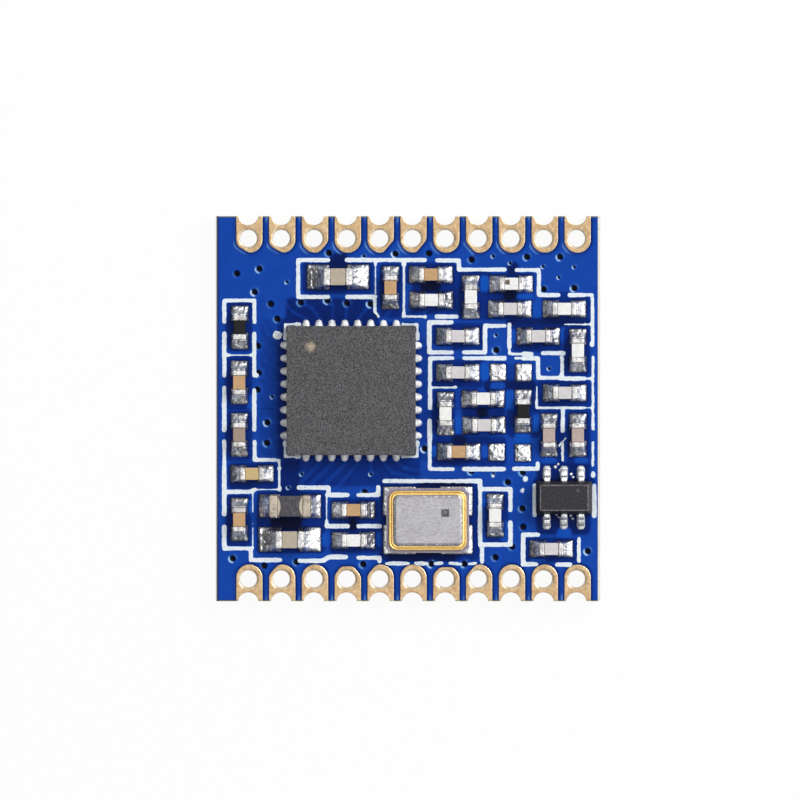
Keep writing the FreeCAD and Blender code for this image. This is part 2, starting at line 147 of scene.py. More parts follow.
def smooth_noise(x, y, cell, seed):
    """Random heights from -1 to 1 at the corners of a square net, blended between them by a smooth step."""
    size = 64
    table = np.random.default_rng(seed).uniform(-1, 1, (size, size))
    u, v = np.asarray(x) / cell, np.asarray(y) / cell
    i, j = np.floor(u).astype(int), np.floor(v).astype(int)
    f, g = u - i, v - j
    f, g = f * f * (3 - 2 * f), g * g * (3 - 2 * g)
    i0, i1, j0, j1 = i % size, (i + 1) % size, j % size, (j + 1) % size
    near = table[i0, j0] * (1 - f) + table[i1, j0] * f
    far = table[i0, j1] * (1 - f) + table[i1, j1] * f
    return near * (1 - g) + far * g


def smooth_step(value, start, end):
    """0 before start, 1 after end, and a cubic ease between them."""
    t = np.clip((value - start) / (end - start), 0, 1)
    return t * t * (3 - 2 * t)


def bell(value, middle, half):
    """1 at the middle, about a third at half to either side of it, and nothing far away."""
    return np.exp(-((value - middle) / half) ** 2)


def net(rows, columns, wrap=False):
    """The four-sided faces of a grid of points stored row by row. With wrap the last column meets the
    first."""
    across = columns if wrap else columns - 1
    row, here = np.meshgrid(np.arange(rows - 1) * columns, np.arange(across), indexing="ij")
    following = (here + 1) % columns
    above = row + columns
    return np.stack([row + here, row + following, above + following, above + here], -1).reshape(-1, 4)


def grid_rim(rows, columns):
    """The points round the outside of a grid, counter-clockwise from its first."""
    last = (rows - 1) * columns
    return np.concatenate([np.arange(columns), np.arange(1, rows) * columns + columns - 1,
                           last + np.arange(columns - 2, -1, -1), np.arange(rows - 2, 0, -1) * columns])


def welded(points, faces):
    """Points at one place become one, faces lose the corners that this doubles, and a shape that would be
    inside out, by the sign of the volume under its faces, is turned round."""
    keys = np.round(points * WELD_STEPS).astype(np.int64)
    _, first, back = np.unique(keys, axis=0, return_index=True, return_inverse=True)
    back = back.ravel()
    points = points[first]
    kept = []
    for block in faces:
        block = back[block]
        doubled = block == np.roll(block, -1, axis=1)
        repeats = doubled.sum(axis=1)
        kept.append(block[repeats == 0])
        if block.shape[1] == 4:
            kept.append(block[repeats == 1][~doubled[repeats == 1]].reshape(-1, 3))
    kept = [block for block in kept if len(block)]
    volume = 0.0
    for block in kept:
        for k in range(1, block.shape[1] - 1):
            a, b, c = points[block[:, 0]], points[block[:, k]], points[block[:, k + 1]]
            volume += float((a * np.cross(b, c)).sum())
    return points, [block[:, ::-1] for block in kept] if volume < 0 else kept


def joined(shapes):
    """Several shapes as one list of points and one list of face blocks."""
    starts = np.cumsum([0] + [len(points) for points, _ in shapes])
    points = np.concatenate([points for points, _ in shapes])
    blocks = {}
    for start, (_, faces) in zip(starts, shapes):
        for block in faces:
            blocks.setdefault(block.shape[1], []).append(block + start)
    return points, [np.concatenate(parts) for parts in blocks.values()]


def area_normals(points, faces):
    """Each point's normal: the sum of its faces' normals, each as long as its face is large, so that wide
    flat faces stay flat beside their rounded edges."""
    normals = np.zeros_like(points)
    for block in faces:
        total = np.zeros((len(block), 3))
        first = points[block[:, 0]]
        for k in range(1, block.shape[1] - 1):
            total += np.cross(points[block[:, k]] - first, points[block[:, k + 1]] - first)
        for k in range(block.shape[1]):
            np.add.at(normals, block[:, k], total)
    return normals / np.maximum(np.linalg.norm(normals, axis=1), 1e-12)[:, None]


def linked(name, data):
    """A new object in the scene."""
    thing = bpy.data.objects.new(name, data)
    bpy.context.scene.collection.objects.link(thing)
    return thing


def add_piece(name, shape, finish, nodes=(), attributes=None):
    """Put a shape into a mesh object with its material, and let it ride on the board."""
    points, faces = shape
    mesh = bpy.data.meshes.new(name)
    mesh.vertices.add(len(points))
    mesh.vertices.foreach_set("co", (points / METRE).astype(np.float32).ravel())
    corners = np.concatenate([block.ravel() for block in faces])
    counts = np.concatenate([np.full(len(block), block.shape[1]) for block in faces])
    mesh.loops.add(len(corners))
    mesh.loops.foreach_set("vertex_index", corners.astype(np.int32))
    mesh.polygons.add(len(counts))
    mesh.polygons.foreach_set("loop_start", (np.cumsum(counts) - counts).astype(np.int32))
    mesh.update(calc_edges=True)
    mesh.polygons.foreach_set("use_smooth", np.ones(len(counts), bool))
    mesh.normals_split_custom_set_from_vertices(area_normals(points, faces))
    for key, values in (attributes or {}).items():
        attribute = mesh.attributes.new(key, "FLOAT", "POINT")
        attribute.data.foreach_set("value", values.astype(np.float32))
    mesh.materials.append(finish)
    piece = linked(name, mesh)
    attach(piece, "root")
    if nodes:
        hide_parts(*nodes)
    return piece


def dress_node(node, finish):
    """Give a CAD node that stays in view its material."""
    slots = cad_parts[node].material_slots
    if not slots:
        raise RuntimeError(f"{node} has no material slot to dress")
    for material_slot in slots:
        material_slot.material = finish


def corner_turns(steps):
    """The angles of four quarter rounds, counter-clockwise from +X, and on which side of the middle each one
    lies along X and along Y."""
    quarters = [np.linspace(start, start + 90, steps + 1) for start in (0, 90, 180, 270)]
    side_x, side_y = np.repeat([1, -1, -1, 1], steps + 1), np.repeat([1, 1, -1, -1], steps + 1)
    return np.radians(np.concatenate(quarters)), side_x, side_y


def tube(points, rows, columns, lid=None):
    """A ring of points carried through rows and closed with a flat face at both ends. The lid numbers the
    ring's points that the end faces use, all of them if it isn't given."""
    lid = np.arange(columns) if lid is None else lid
    caps = np.stack([lid[::-1], (rows - 1) * columns + lid])
    return welded(points, [net(rows, columns, wrap=True), caps])


def rounded_block(low, high, radius, steps=3):
    """A block with round edges: a corner of its smaller core plus radius times a direction, which runs over
    longitude and latitude, an eighth of a ball to each corner."""
    low, high = np.asarray(low, float), np.asarray(high, float)
    count = steps + 1
    turn, side_x, side_y = corner_turns(steps)
    tilt = np.radians(np.concatenate([np.linspace(-90, 0, count), np.linspace(0, 90, count)]))
    side_z = np.repeat([-1, 1], count)
    core = (high - low) / 2 - radius
    x = core[0] * side_x + radius * np.cos(tilt)[:, None] * np.cos(turn)
    y = core[1] * side_y + radius * np.cos(tilt)[:, None] * np.sin(turn)
    z = np.broadcast_to((core[2] * side_z + radius * np.sin(tilt))[:, None], x.shape)
    points = np.stack([x, y, z], -1).reshape(-1, 3) + (low + high) / 2
    return tube(points, len(tilt), len(turn), lid=np.arange(4) * count)


def rounded_outline(length, width, radius, steps=5):
    """A rectangle about the origin with round corners, counter-clockwise."""
    turn, side_x, side_y = corner_turns(steps)
    x = side_x * (length / 2 - radius) + radius * np.cos(turn)
    y = side_y * (width / 2 - radius) + radius * np.sin(turn)
    return np.stack([x, y], -1)


def stacked(rings, heights):
    """Outlines of equal count laid one above the other and closed with a flat face at both ends."""
    points = np.concatenate([np.insert(ring, 2, z, axis=1) for ring, z in zip(rings, heights)])
    return tube(points, len(rings), len(rings[0]))


def slab(centre, length, width, corner, levels):
    """A stack of rounded outlines. Each level gives how far it is drawn in from the full size, and its
    height."""
    rings = [rounded_outline(length - 2 * inset, width - 2 * inset, max(corner - inset, 0.004)) + centre
             for inset, _ in levels]
    return stacked(rings, [height for _, height in levels])


def edge_levels(low, high, radius, steps=4):
    """Levels for a slab with a quarter-round upper edge."""
    turn = np.radians(np.linspace(0, 90, steps + 1))
    return [(0.0, low)] + [(radius * (1 - math.cos(a)), high - radius * (1 - math.sin(a))) for a in turn]


def plan_of(node):
    """A CAD node's lowest and highest corner, the middle of its plan, and its length and width."""
    low, high = box_of(node)
    return low, high, ((low + high) / 2)[:2], *(high - low)[:2]


# Shader expressions


def math_step(operation):
    """A method that adds a Math node to a wire and whatever numbers or wires it is given."""
    return lambda wire, *others: wire.network.node("Math", {"operation": operation},
                                                   dict(enumerate((wire, *others))))


class Wire:
    """One output of a node. Operators on wires and numbers add Math nodes."""

    def __init__(self, network, socket):
        self.network = network
        self.socket = socket

    __add__ = __radd__ = math_step("ADD")
    __sub__ = math_step("SUBTRACT")
    __mul__ = __rmul__ = math_step("MULTIPLY")
    __pow__ = math_step("POWER")
    __abs__ = math_step("ABSOLUTE")
    least = math_step("MINIMUM")
    most = math_step("MAXIMUM")

    def __rsub__(self, other):
        return self * -1.0 + other


class Network:
    """The nodes of one material or world, with the one method that adds a node."""

    def __init__(self, tree):
        self.tree = tree
        self.tree.nodes.clear()

    def node(self, kind, settings=None, inputs=None, output=0):
        """Add a node: its settings first, then the values or links of its sockets."""
        node = self.tree.nodes.new("ShaderNode" + kind)
        for key, value in (settings or {}).items():
            if key == "stops":
                elements = node.color_ramp.elements
                while len(elements) < len(value):
                    elements.new(0.5)
                for element, (position, colour) in zip(elements, value):
                    element.position = position
                    element.color = (*colour, 1.0)
            else:
                setattr(node, key, value)
        for key, value in (inputs or {}).items():
            if isinstance(value, Wire):
                self.tree.links.new(value.socket, node.inputs[key])
            elif isinstance(value, tuple) and node.inputs[key].type == "RGBA":
                node.inputs[key].default_value = (*value, 1.0)
            else:
                node.inputs[key].default_value = value
        return Wire(self, node.outputs[output]) if node.outputs else None

    def ease(self, value, start, end):
        """0 before start and 1 after end."""
        return self.node("MapRange", {"interpolation_type": "SMOOTHSTEP"},
                         {"Value": value, "From Min": start, "From Max": end})

    def rays(self, *kinds):
        """1 for the named kinds of ray and 0 for the others."""
        wires = [self.node("LightPath", output=f"Is {kind} Ray") for kind in kinds]
        return sum(wires[1:], wires[0]).least(1.0)


class Finish(Network):
    """A material: patterns on the object's own coordinates that end in one Principled shader."""

    def __init__(self, name, **constants):
        self.material = bpy.data.materials.new(name)
        self.material.use_nodes = True
        super().__init__(self.material.node_tree)
        self.constants = {key.replace("_", " "): value for key, value in constants.items()}
        self.place = self.node("TexCoord", output="Object")

    def grain(self, cell, detail=2.0, roughness=0.5, stretch=None):
        """Noise from 0 to 1 whose lumps are about cell millimetres wide."""
        vector = self.place
        if stretch:
            vector = self.node("Mapping", None, {"Vector": vector, "Scale": stretch})
        return self.node("TexNoise", None, {"Vector": vector, "Scale": METRE / cell, "Detail": detail,
                                            "Roughness": roughness})

    def value(self, attribute):
        """A number kept on the mesh's own points."""
        return self.node("Attribute", {"attribute_name": attribute}, output="Fac")

    def part(self, axis):
        """One coordinate of the place, in millimetres."""
        return self.node("SeparateXYZ", None, {0: self.place}, output=axis) * METRE

    def reach(self, x, y):
        """How far the place is from a spot along X or along Y, whichever is more, in millimetres."""
        return abs(self.part("X") - float(x)).most(abs(self.part("Y") - float(y)))

    def ramp(self, factor, *stops):
        """A colour that follows a number through the stops."""
        return self.node("ValToRGB", {"stops": stops}, {"Fac": factor})

    def mix(self, factor, first, second):
        """The first colour where the factor is 0 and the second where it is 1. A Mix node takes colours at
        its sockets 6 and 7 and gives one at its output 2."""
        return self.node("Mix", {"data_type": "RGBA"}, {0: factor, 6: first, 7: second}, output=2)

    def stain(self, colour, other, pattern, start, end, share=1.0):
        """Another colour over the first, up to a share, where the pattern passes from start to end."""
        where = self.ease(pattern, start, end)
        return self.mix(where * share, colour, other)

    def gap_from(self, x, y):
        """How far the place is from an upright line, in millimetres."""
        return ((self.part("X") - float(x)) ** 2.0 + (self.part("Y") - float(y)) ** 2.0) ** 0.5

    def surface(self, colour, roughness=0.5, metallic=0.0, height=None, depth=0.01):
        """The Principled shader. Height from 0 to 1 is a relief of depth millimetres."""
        inputs = dict(self.constants, **{"Base Color": colour, "Roughness": roughness, "Metallic": metallic})
        if height is not None:
            inputs["Normal"] = self.node("Bump", None, {"Height": height, "Distance": depth / METRE})
        return self.node("BsdfPrincipled", None, inputs)

    def done(self, *values, **named):
        """Send the shader to the output and hand over the material."""
        self.node("OutputMaterial", None, {"Surface": self.surface(*values, **named)})
        return self.material


# Sizes and colours that a user may change


def shade(colour, *factors):
    """A colour made darker or lighter by one factor, or by one for each channel."""
    factors = factors * 3 if len(factors) == 1 else factors
    return tuple(channel * factor for channel, factor in zip(colour, factors))


class CoatLooks(bpy.types.PropertyGroup):
    """The blue coats and the copper that shows through them."""

    # Deep shade is partly bare laminate and partly painted shade: the coat's darkest blue, in the gaps
    # between close parts and under them.
    deep: colour_property("Deep shade", "Coat over bare laminate between close lands", 1, 12, 52)
    bare: colour_property("Bare laminate", "Coat with no copper under it", 3, 40, 122)
    pour: colour_property("Copper pour", "Coat over the broad copper", 18, 69, 169)
    patch: colour_property("Bright patch", "Thin coat over the ends of lands", 14, 82, 186)
    # The haze colour and the glint are painted light: the haze is partly thin coat and partly painted
    # highlight, and the glint is the brightest painted highlight, on the crescents by the vias and on the
    # ridges round the terminals.
    pale: colour_property("Pale edge", "Where the coat thins out to a haze", 98, 150, 212)
    glint: colour_property("Glint", "The bright crescents beside the vias", 222, 234, 246)
    relief: length_property("Copper relief", "How far the coat steps up over copper", 0.016)
    cell: length_property("Cell", "Width of one cell of the coat's surface", 0.035)


class TerminalLooks(bpy.types.PropertyGroup):
    """The gilt castellated terminals."""

    gold: colour_property("Gold", "The worn tan of the lands", 188, 160, 122)
    tarnish: colour_property("Tarnish", "The brown between the scratches", 150, 118, 82)
    # The rim colour is a painted highlight on the rounded rims of the lands.
    rim: colour_property("Rim", "The cream of the rounded rims", 255, 240, 212)


class PrintLooks(bpy.types.PropertyGroup):
    """The white outlines."""

    ink: colour_property("Ink", "The middle of a stroke", 240, 247, 252)
    edge: colour_property("Thin ink", "The blue that shows through a stroke's edge", 140, 182, 230)
    soft: length_property("Corner softness", "How far the strokes' corners are rounded", 0.055)
    spread: length_property("Spread", "How far the ink runs past the drawn outline", 0.019)


class SolderLooks(bpy.types.PropertyGroup):
    """Joints and plated ends."""

    solder: colour_property("Solder", "The tinned lands and joints", 236, 237, 240)
    cap: colour_property("Plated end", "The end caps of the chip parts", 226, 224, 223)
    power_cap: colour_property("Beige end", "The end caps of the power inductor", 200, 188, 172)
    wrinkle: length_property("Wrinkle", "Unevenness of the solder", 0.026)


class ChipLooks(bpy.types.PropertyGroup):
    """Mouldings and ceramics."""

    moulding: colour_property("Moulding", "The radio chip's package", 82, 82, 84)
    switch: colour_property("Switch moulding", "The antenna switch's package", 50, 48, 52)
    tan: colour_property("Tan ceramic", "Capacitors", 206, 166, 122)
    sand: colour_property("Sand ceramic", "One capacitor", 210, 184, 134)
    beige: colour_property("Beige ceramic", "Capacitors", 192, 180, 160)
    brown: colour_property("Brown-grey ceramic", "Capacitors", 168, 148, 132)
    grey: colour_property("Grey ceramic", "Capacitors", 222, 218, 220)
    taupe: colour_property("Taupe ceramic", "Capacitors", 192, 174, 166)
    white: colour_property("White ceramic", "Inductors", 252, 252, 250)
    glaze: colour_property("Glaze", "Resistors", 20, 19, 22)
    ferrite: colour_property("Ferrite", "The power inductor", 86, 84, 90)
    mark: colour_property("Mark", "The rough round mark and the small painted ones", 176, 160, 140)


class CrystalLooks(bpy.types.PropertyGroup):
    """The quartz crystal's can."""

    ceramic: colour_property("Ceramic", "The tray", 150, 140, 156)
    gilt: colour_property("Gilt", "The seal ring", 250, 216, 138)
    # The groove colour is painted shade in the seal ring's groove.
    groove: colour_property("Groove", "The line in the seal ring", 128, 90, 44)
    lid: colour_property("Lid", "The brushed lid", 168, 166, 171)


class StageLooks(bpy.types.PropertyGroup):
    """Floor, lights and camera."""

    distance: length_property("Camera distance", "From the camera to the board", 480.0)
    lens: FloatProperty(name="Lens", description="Focal length in millimetres", default=558.3, min=1.0)
    aim: FloatVectorProperty(name="Aim", description="Where the camera looks", subtype="TRANSLATION", size=3,
                             precision=6, default=(-0.314 / METRE, 0.3355 / METRE, 1.0 / METRE))
    soft_light: strength_property("Soft light", "Radiance of the overhead panel", 0.8)
    key_light: strength_property("Key light", "Radiance of the side panel", 8.0)
    sky: strength_property("Sky", "Strength of the white surround", 0.42)


def looks(group):
    """One group of a user's values."""
    return getattr(bpy.context.scene, "radio_" + group)


# The coats

# The terminals: how far apart they are, half their width, how far from the board's edge the round inner end
# starts, then the hole, the notch and the thickness of their plated walls
TERMINAL_PITCH = 1.27
TERMINAL_HALF = 0.515
TERMINAL_END = 0.91
HOLE_SETBACK = 0.86
HOLE_RADIUS = 0.33
NOTCH_RADIUS = 0.40
NOTCH_OVERHANG = 0.06
PLATING = 0.04

# The drill ran this far to the left of the lands
DRILL_SHIFT = -0.04

# Where the light comes from, seen from above
LIGHT_WAY = (0.82, 0.57)

# Terminals whose round inner end is cut off: whether in the rear row, the number from the left, then a point
# of the cut and its outward direction. The point is given from the middle of the land and the board's edge.
CLIPPED_ENDS = [
    (False, 1, -0.40, 1.16, -0.75, 0.66), (False, 3, 0.0, 1.353, 0.0, 1.0),
    (False, 3, 0.34, 1.20, 0.77, 0.64), (False, 3, -0.42, 1.16, -0.77, 0.64),
    (False, 4, -0.376, 1.19, -0.753, 0.658), (False, 6, 0.0, 1.32, 0.0, 1.0),
    (False, 6, 0.42, 1.17, 0.7, 0.7), (False, 6, -0.40, 1.17, -0.7, 0.7),
    (False, 7, -0.36, 1.15, -0.76, 0.65), (True, 0, -0.23, 1.305, -0.52, 0.85),
    (True, 1, -0.27, 1.277, -0.49, 0.87), (True, 2, 0.33, 1.216, 0.76, 0.65),
    (True, 4, 0.27, 1.216, 0.76, 0.65), (True, 5, 0.31, 1.17, 0.776, 0.63),
    (True, 7, -0.36, 1.20, -0.75, 0.66),
]

# Where copper lies or is missing under the top coat: left, front, right and rear in hundredths, then a tone
# Tones near 0 are painted shade, in the gaps between close parts and under them, over bare laminate.
COAT_AREAS = [
    (22.4, 79.8, 40.9, 88.1, 0.3), (29.4, 86.0, 34.3, 90.4, 0.12), (42.4, 73.5, 48.4, 87.8, 0.3),
    (18.2, 71.9, 42.2, 78.7, 0.22), (49.2, 74.6, 62.7, 87.8, 0.3), (53.1, 80.3, 58.5, 83.1, 0.0),
    (49.2, 75.1, 51.0, 82.6, 0.6), (62.7, 73.0, 71.8, 86.0, 0.3), (68.2, 80.5, 71.3, 84.4, 1.0),
    (71.6, 73.3, 82.7, 85.2, 0.3), (74.9, 77.9, 78.3, 81.1, 0.0), (78.3, 77.9, 82.5, 80.3, 0.9),
    (82.0, 73.5, 85.3, 77.9, 0.8), (75.7, 84.4, 78.6, 88.1, 0.1), (84.8, 72.7, 97.3, 79.2, 0.3),
    (88.5, 78.5, 92.4, 80.3, 0.35), (75.5, 71.2, 97.3, 73.5, 0.15), (55.9, 65.2, 69.7, 72.2, 0.3),
    (55.9, 65.2, 61.4, 66.7, 0.65), (76.8, 64.7, 90.0, 71.7, 0.3), (76.5, 67.0, 78.3, 70.4, 0.85),
    (89.0, 67.0, 92.1, 70.9, 0.85), (90.3, 58.4, 97.3, 71.2, 0.25), (55.9, 55.3, 69.7, 62.8, 0.3),
    (68.2, 57.4, 71.3, 61.8, 0.95), (74.9, 57.1, 78.1, 61.5, 0.45), (69.7, 54.3, 83.3, 57.4, 0.12),
    (71.3, 54.5, 75.2, 57.1, 0.7), (83.3, 50.4, 97.3, 57.4, 0.3), (75.5, 42.5, 84.6, 54.8, 0.3),
    (74.7, 49.8, 78.1, 54.8, 0.85), (81.7, 44.1, 84.6, 48.5, 0.85), (77.8, 40.5, 81.7, 44.4, 0.9),
    (55.9, 42.8, 62.2, 54.8, 0.3), (61.4, 49.6, 64.3, 54.8, 0.5), (61.4, 43.3, 64.3, 47.7, 0.9),
    (63.8, 47.7, 75.2, 50.6, 0.25), (67.9, 47.5, 70.8, 50.4, 0.0), (55.9, 35.0, 75.5, 42.8, 0.3),
    (61.4, 40.5, 65.1, 43.3, 0.05), (55.9, 37.6, 57.8, 40.2, 0.85), (68.4, 37.3, 71.3, 40.5, 0.8),
    (84.6, 34.0, 90.6, 49.8, 0.3), (91.1, 34.0, 97.3, 49.8, 0.3), (84.6, 35.0, 88.5, 37.6, 0.75),
    (93.2, 35.0, 96.8, 37.6, 0.75), (83.3, 17.3, 97.3, 35.8, 0.2), (88.7, 15.2, 92.4, 19.1, 0.85),
    (79.9, 10.0, 93.9, 16.5, 0.3), (81.7, 9.0, 85.6, 11.6, 0.7), (70.0, 15.0, 76.0, 28.0, 0.3),
    (69.0, 24.6, 70.5, 26.7, 0.95), (73.9, 15.5, 76.0, 20.9, 0.7), (42.4, 10.5, 68.4, 30.3, 0.3),
    (43.7, 29.3, 66.6, 31.6, 0.02), (44.2, 10.3, 62.5, 12.6, 0.1), (2.6, 64.7, 9.4, 78.2, 0.3),
    (2.6, 49.6, 9.4, 63.6, 0.28), (8.1, 49.6, 9.6, 53.7, 0.8), (2.6, 36.3, 9.4, 49.6, 0.3),
    (3.1, 29.0, 16.1, 36.0, 0.3), (2.6, 14.2, 9.1, 27.7, 0.28), (7.8, 22.8, 9.4, 26.2, 1.0),
    (10.4, 12.6, 28.6, 28.5, 0.3), (14.1, 18.3, 22.4, 22.0, 0.0), (29.4, 12.4, 42.4, 26.7, 0.3),
    (34.6, 18.1, 36.7, 21.7, 0.0), (27.1, 14.2, 29.7, 17.8, 0.8), (41.1, 14.2, 44.0, 17.8, 0.7),
    (11.4, 37.6, 18.7, 73.5, 0.5), (16.1, 36.6, 19.8, 73.5, 0.25), (18.2, 29.8, 53.1, 38.1, 0.35),
    (51.3, 36.6, 55.7, 67.8, 0.45), (16.7, 27.5, 21.9, 36.6, 0.2),
]

# Drilled vias with an open pit, and small ones that the coat closes
OPEN_VIAS = [
    (5.5, 85.1), (11.3, 86.3), (10.1, 80.3), (14.3, 77.2), (16.0, 73.3), (22.1, 77.6), (29.0, 78.1),
    (34.1, 77.4), (40.2, 77.2), (29.4, 90.4), (46.7, 90.2), (10.9, 66.3), (11.1, 59.3), (10.8, 54.9),
    (55.4, 90.3), (66.5, 88.7), (80.9, 89.4), (89.5, 89.4), (85.2, 81.0), (93.2, 81.3), (72.9, 65.2),
    (13.4, 46.4), (13.3, 41.1), (38.7, 28.3), (4.4, 11.1), (12.6, 9.2), (21.0, 10.2), (38.3, 9.6),
    (54.3, 39.6), (66.4, 33.8), (75.9, 30.9), (79.8, 33.5), (79.7, 24.1), (79.9, 19.3), (77.0, 14.2),
    (72.7, 11.4), (64.6, 9.7), (56.0, 9.7), (96.7, 13.0),
]
CLOSED_VIAS = [
    (18.5, 82.9), (38.5, 89.6), (14.7, 53.1), (72.1, 89.6), (76.5, 87.8), (85.1, 86.9), (89.2, 84.1),
    (93.2, 86.8), (72.9, 69.1), (86.7, 60.4), (22.3, 33.0), (18.9, 29.5), (40.3, 33.0), (72.2, 33.0),
    (79.8, 28.8),
]

# Copper traces under the top coat
TRACES = [
    [(12.0, 78.2), (12.0, 72.5), (13.5, 69.3), (17.4, 66.5)], [(11.4, 65.2), (13.0, 62.1), (17.7, 59.7)],
    [(12.0, 58.4), (14.1, 56.9), (17.7, 56.3)], [(12.0, 54.3), (14.1, 50.9), (17.7, 49.6)],
    [(12.0, 47.5), (14.6, 46.4), (17.7, 46.4)], [(13.5, 41.8), (15.6, 42.5), (17.7, 43.1)],
    [(27.1, 36.0), (21.9, 30.6)], [(30.4, 36.0), (24.2, 29.8)], [(33.8, 36.0), (27.6, 29.5)],
    [(37.0, 36.0), (33.8, 32.1), (30.7, 28.8)], [(40.3, 36.0), (40.3, 32.9)],
    [(43.7, 36.0), (45.8, 33.4), (51.0, 32.1), (59.6, 31.9)],
    [(47.1, 36.0), (49.2, 34.5), (55.7, 33.4), (66.1, 33.2)],
    [(14.3, 77.4), (18.0, 77.4), (20.0, 75.1), (23.7, 73.3)], [(22.1, 77.4), (25.0, 76.1), (27.1, 73.3)],
    [(28.9, 77.9), (30.4, 76.6), (30.4, 73.3)], [(34.1, 77.4), (33.8, 73.3)],
    [(40.1, 77.2), (38.8, 75.6), (37.0, 73.3)], [(43.7, 73.3), (45.8, 76.1), (47.9, 77.4)],
    [(50.5, 73.3), (54.1, 75.1), (58.3, 78.2)], [(51.8, 66.5), (55.7, 66.5)],
    [(51.8, 49.8), (56.5, 49.8)], [(51.8, 46.4), (55.2, 45.9)],
    [(53.6, 59.7), (54.9, 59.7), (54.9, 52.2)],
]
TRACE_HALF = 0.05

# Tones of the coat: over the gap round a land, which is partly painted shade, over the broad copper, and
# where each of its four blues stands
GAP_AND_SHADE_TONE = 0.03
POUR_TONE = 0.6
BLUE_TONES = (0.0, 0.3, POUR_TONE, 0.95)

# A copper run: the tone of its core, and by how much its border is darker, down to a least tone
RUN_TONE = 0.56
BORDER_DROP = 0.07
BORDER_LEAST = 0.26

# Vias: radius, depth and how dark the painted shade in the hole is
OPEN_VIA = (0.100, 0.036, 1.0)
CLOSED_VIA = (0.055, 0.012, 0.6)
UNDER_VIA = (0.13, 0.03, 0.9)

# The coat stops this far short of the front and the rear edge, and runs this far in under a land
EDGE_TRIM = 0.045
COAT_UNDERLAP = 0.07

# The low ridge of the coat round a terminal: its height, how far out its crest runs, and its half width
RIDGE_HEIGHT = 0.010
RIDGE_PLACE = 0.10
RIDGE_HALF = 0.035

# How deep the coat dips to a terminal, and the lowest and highest that it may lie from its level
RIM_DIP = 0.03
LOWEST_DIP = -0.037
HIGHEST_RISE = 0.012


def box_gap(x, y, half_x, half_y, corner):
    """Signed distance to a rectangle with round corners about the origin, negative inside it."""
    dx, dy = abs(x) - half_x + corner, abs(y) - half_y + corner
    return np.hypot(np.maximum(dx, 0), np.maximum(dy, 0)) + np.minimum(np.maximum(dx, dy), 0) - corner


def rounded_most(a, b, blend=0.08):
    """The larger of two distances, with the corner where they meet rounded off."""
    near = np.maximum(blend - abs(a - b), 0) / blend
    return np.maximum(a, b) + near ** 2 * blend / 4


def area_gap(x, y, sides, corner):
    """Signed distance to a rectangle with round corners, given by its left, front, right and rear side."""
    left, front, right, rear = sides
    half_x, half_y = (right - left) / 2, (rear - front) / 2
    corner = min(corner, half_x, half_y)
    return box_gap(x - left - half_x, y - front - half_y, half_x, half_y, corner)


def board_sides(left, front, right, rear):
    """The sides of a box given in hundredths of the board."""
    (left, right), (front, rear) = spot((left, right), (front, rear))
    return left, front, right, rear


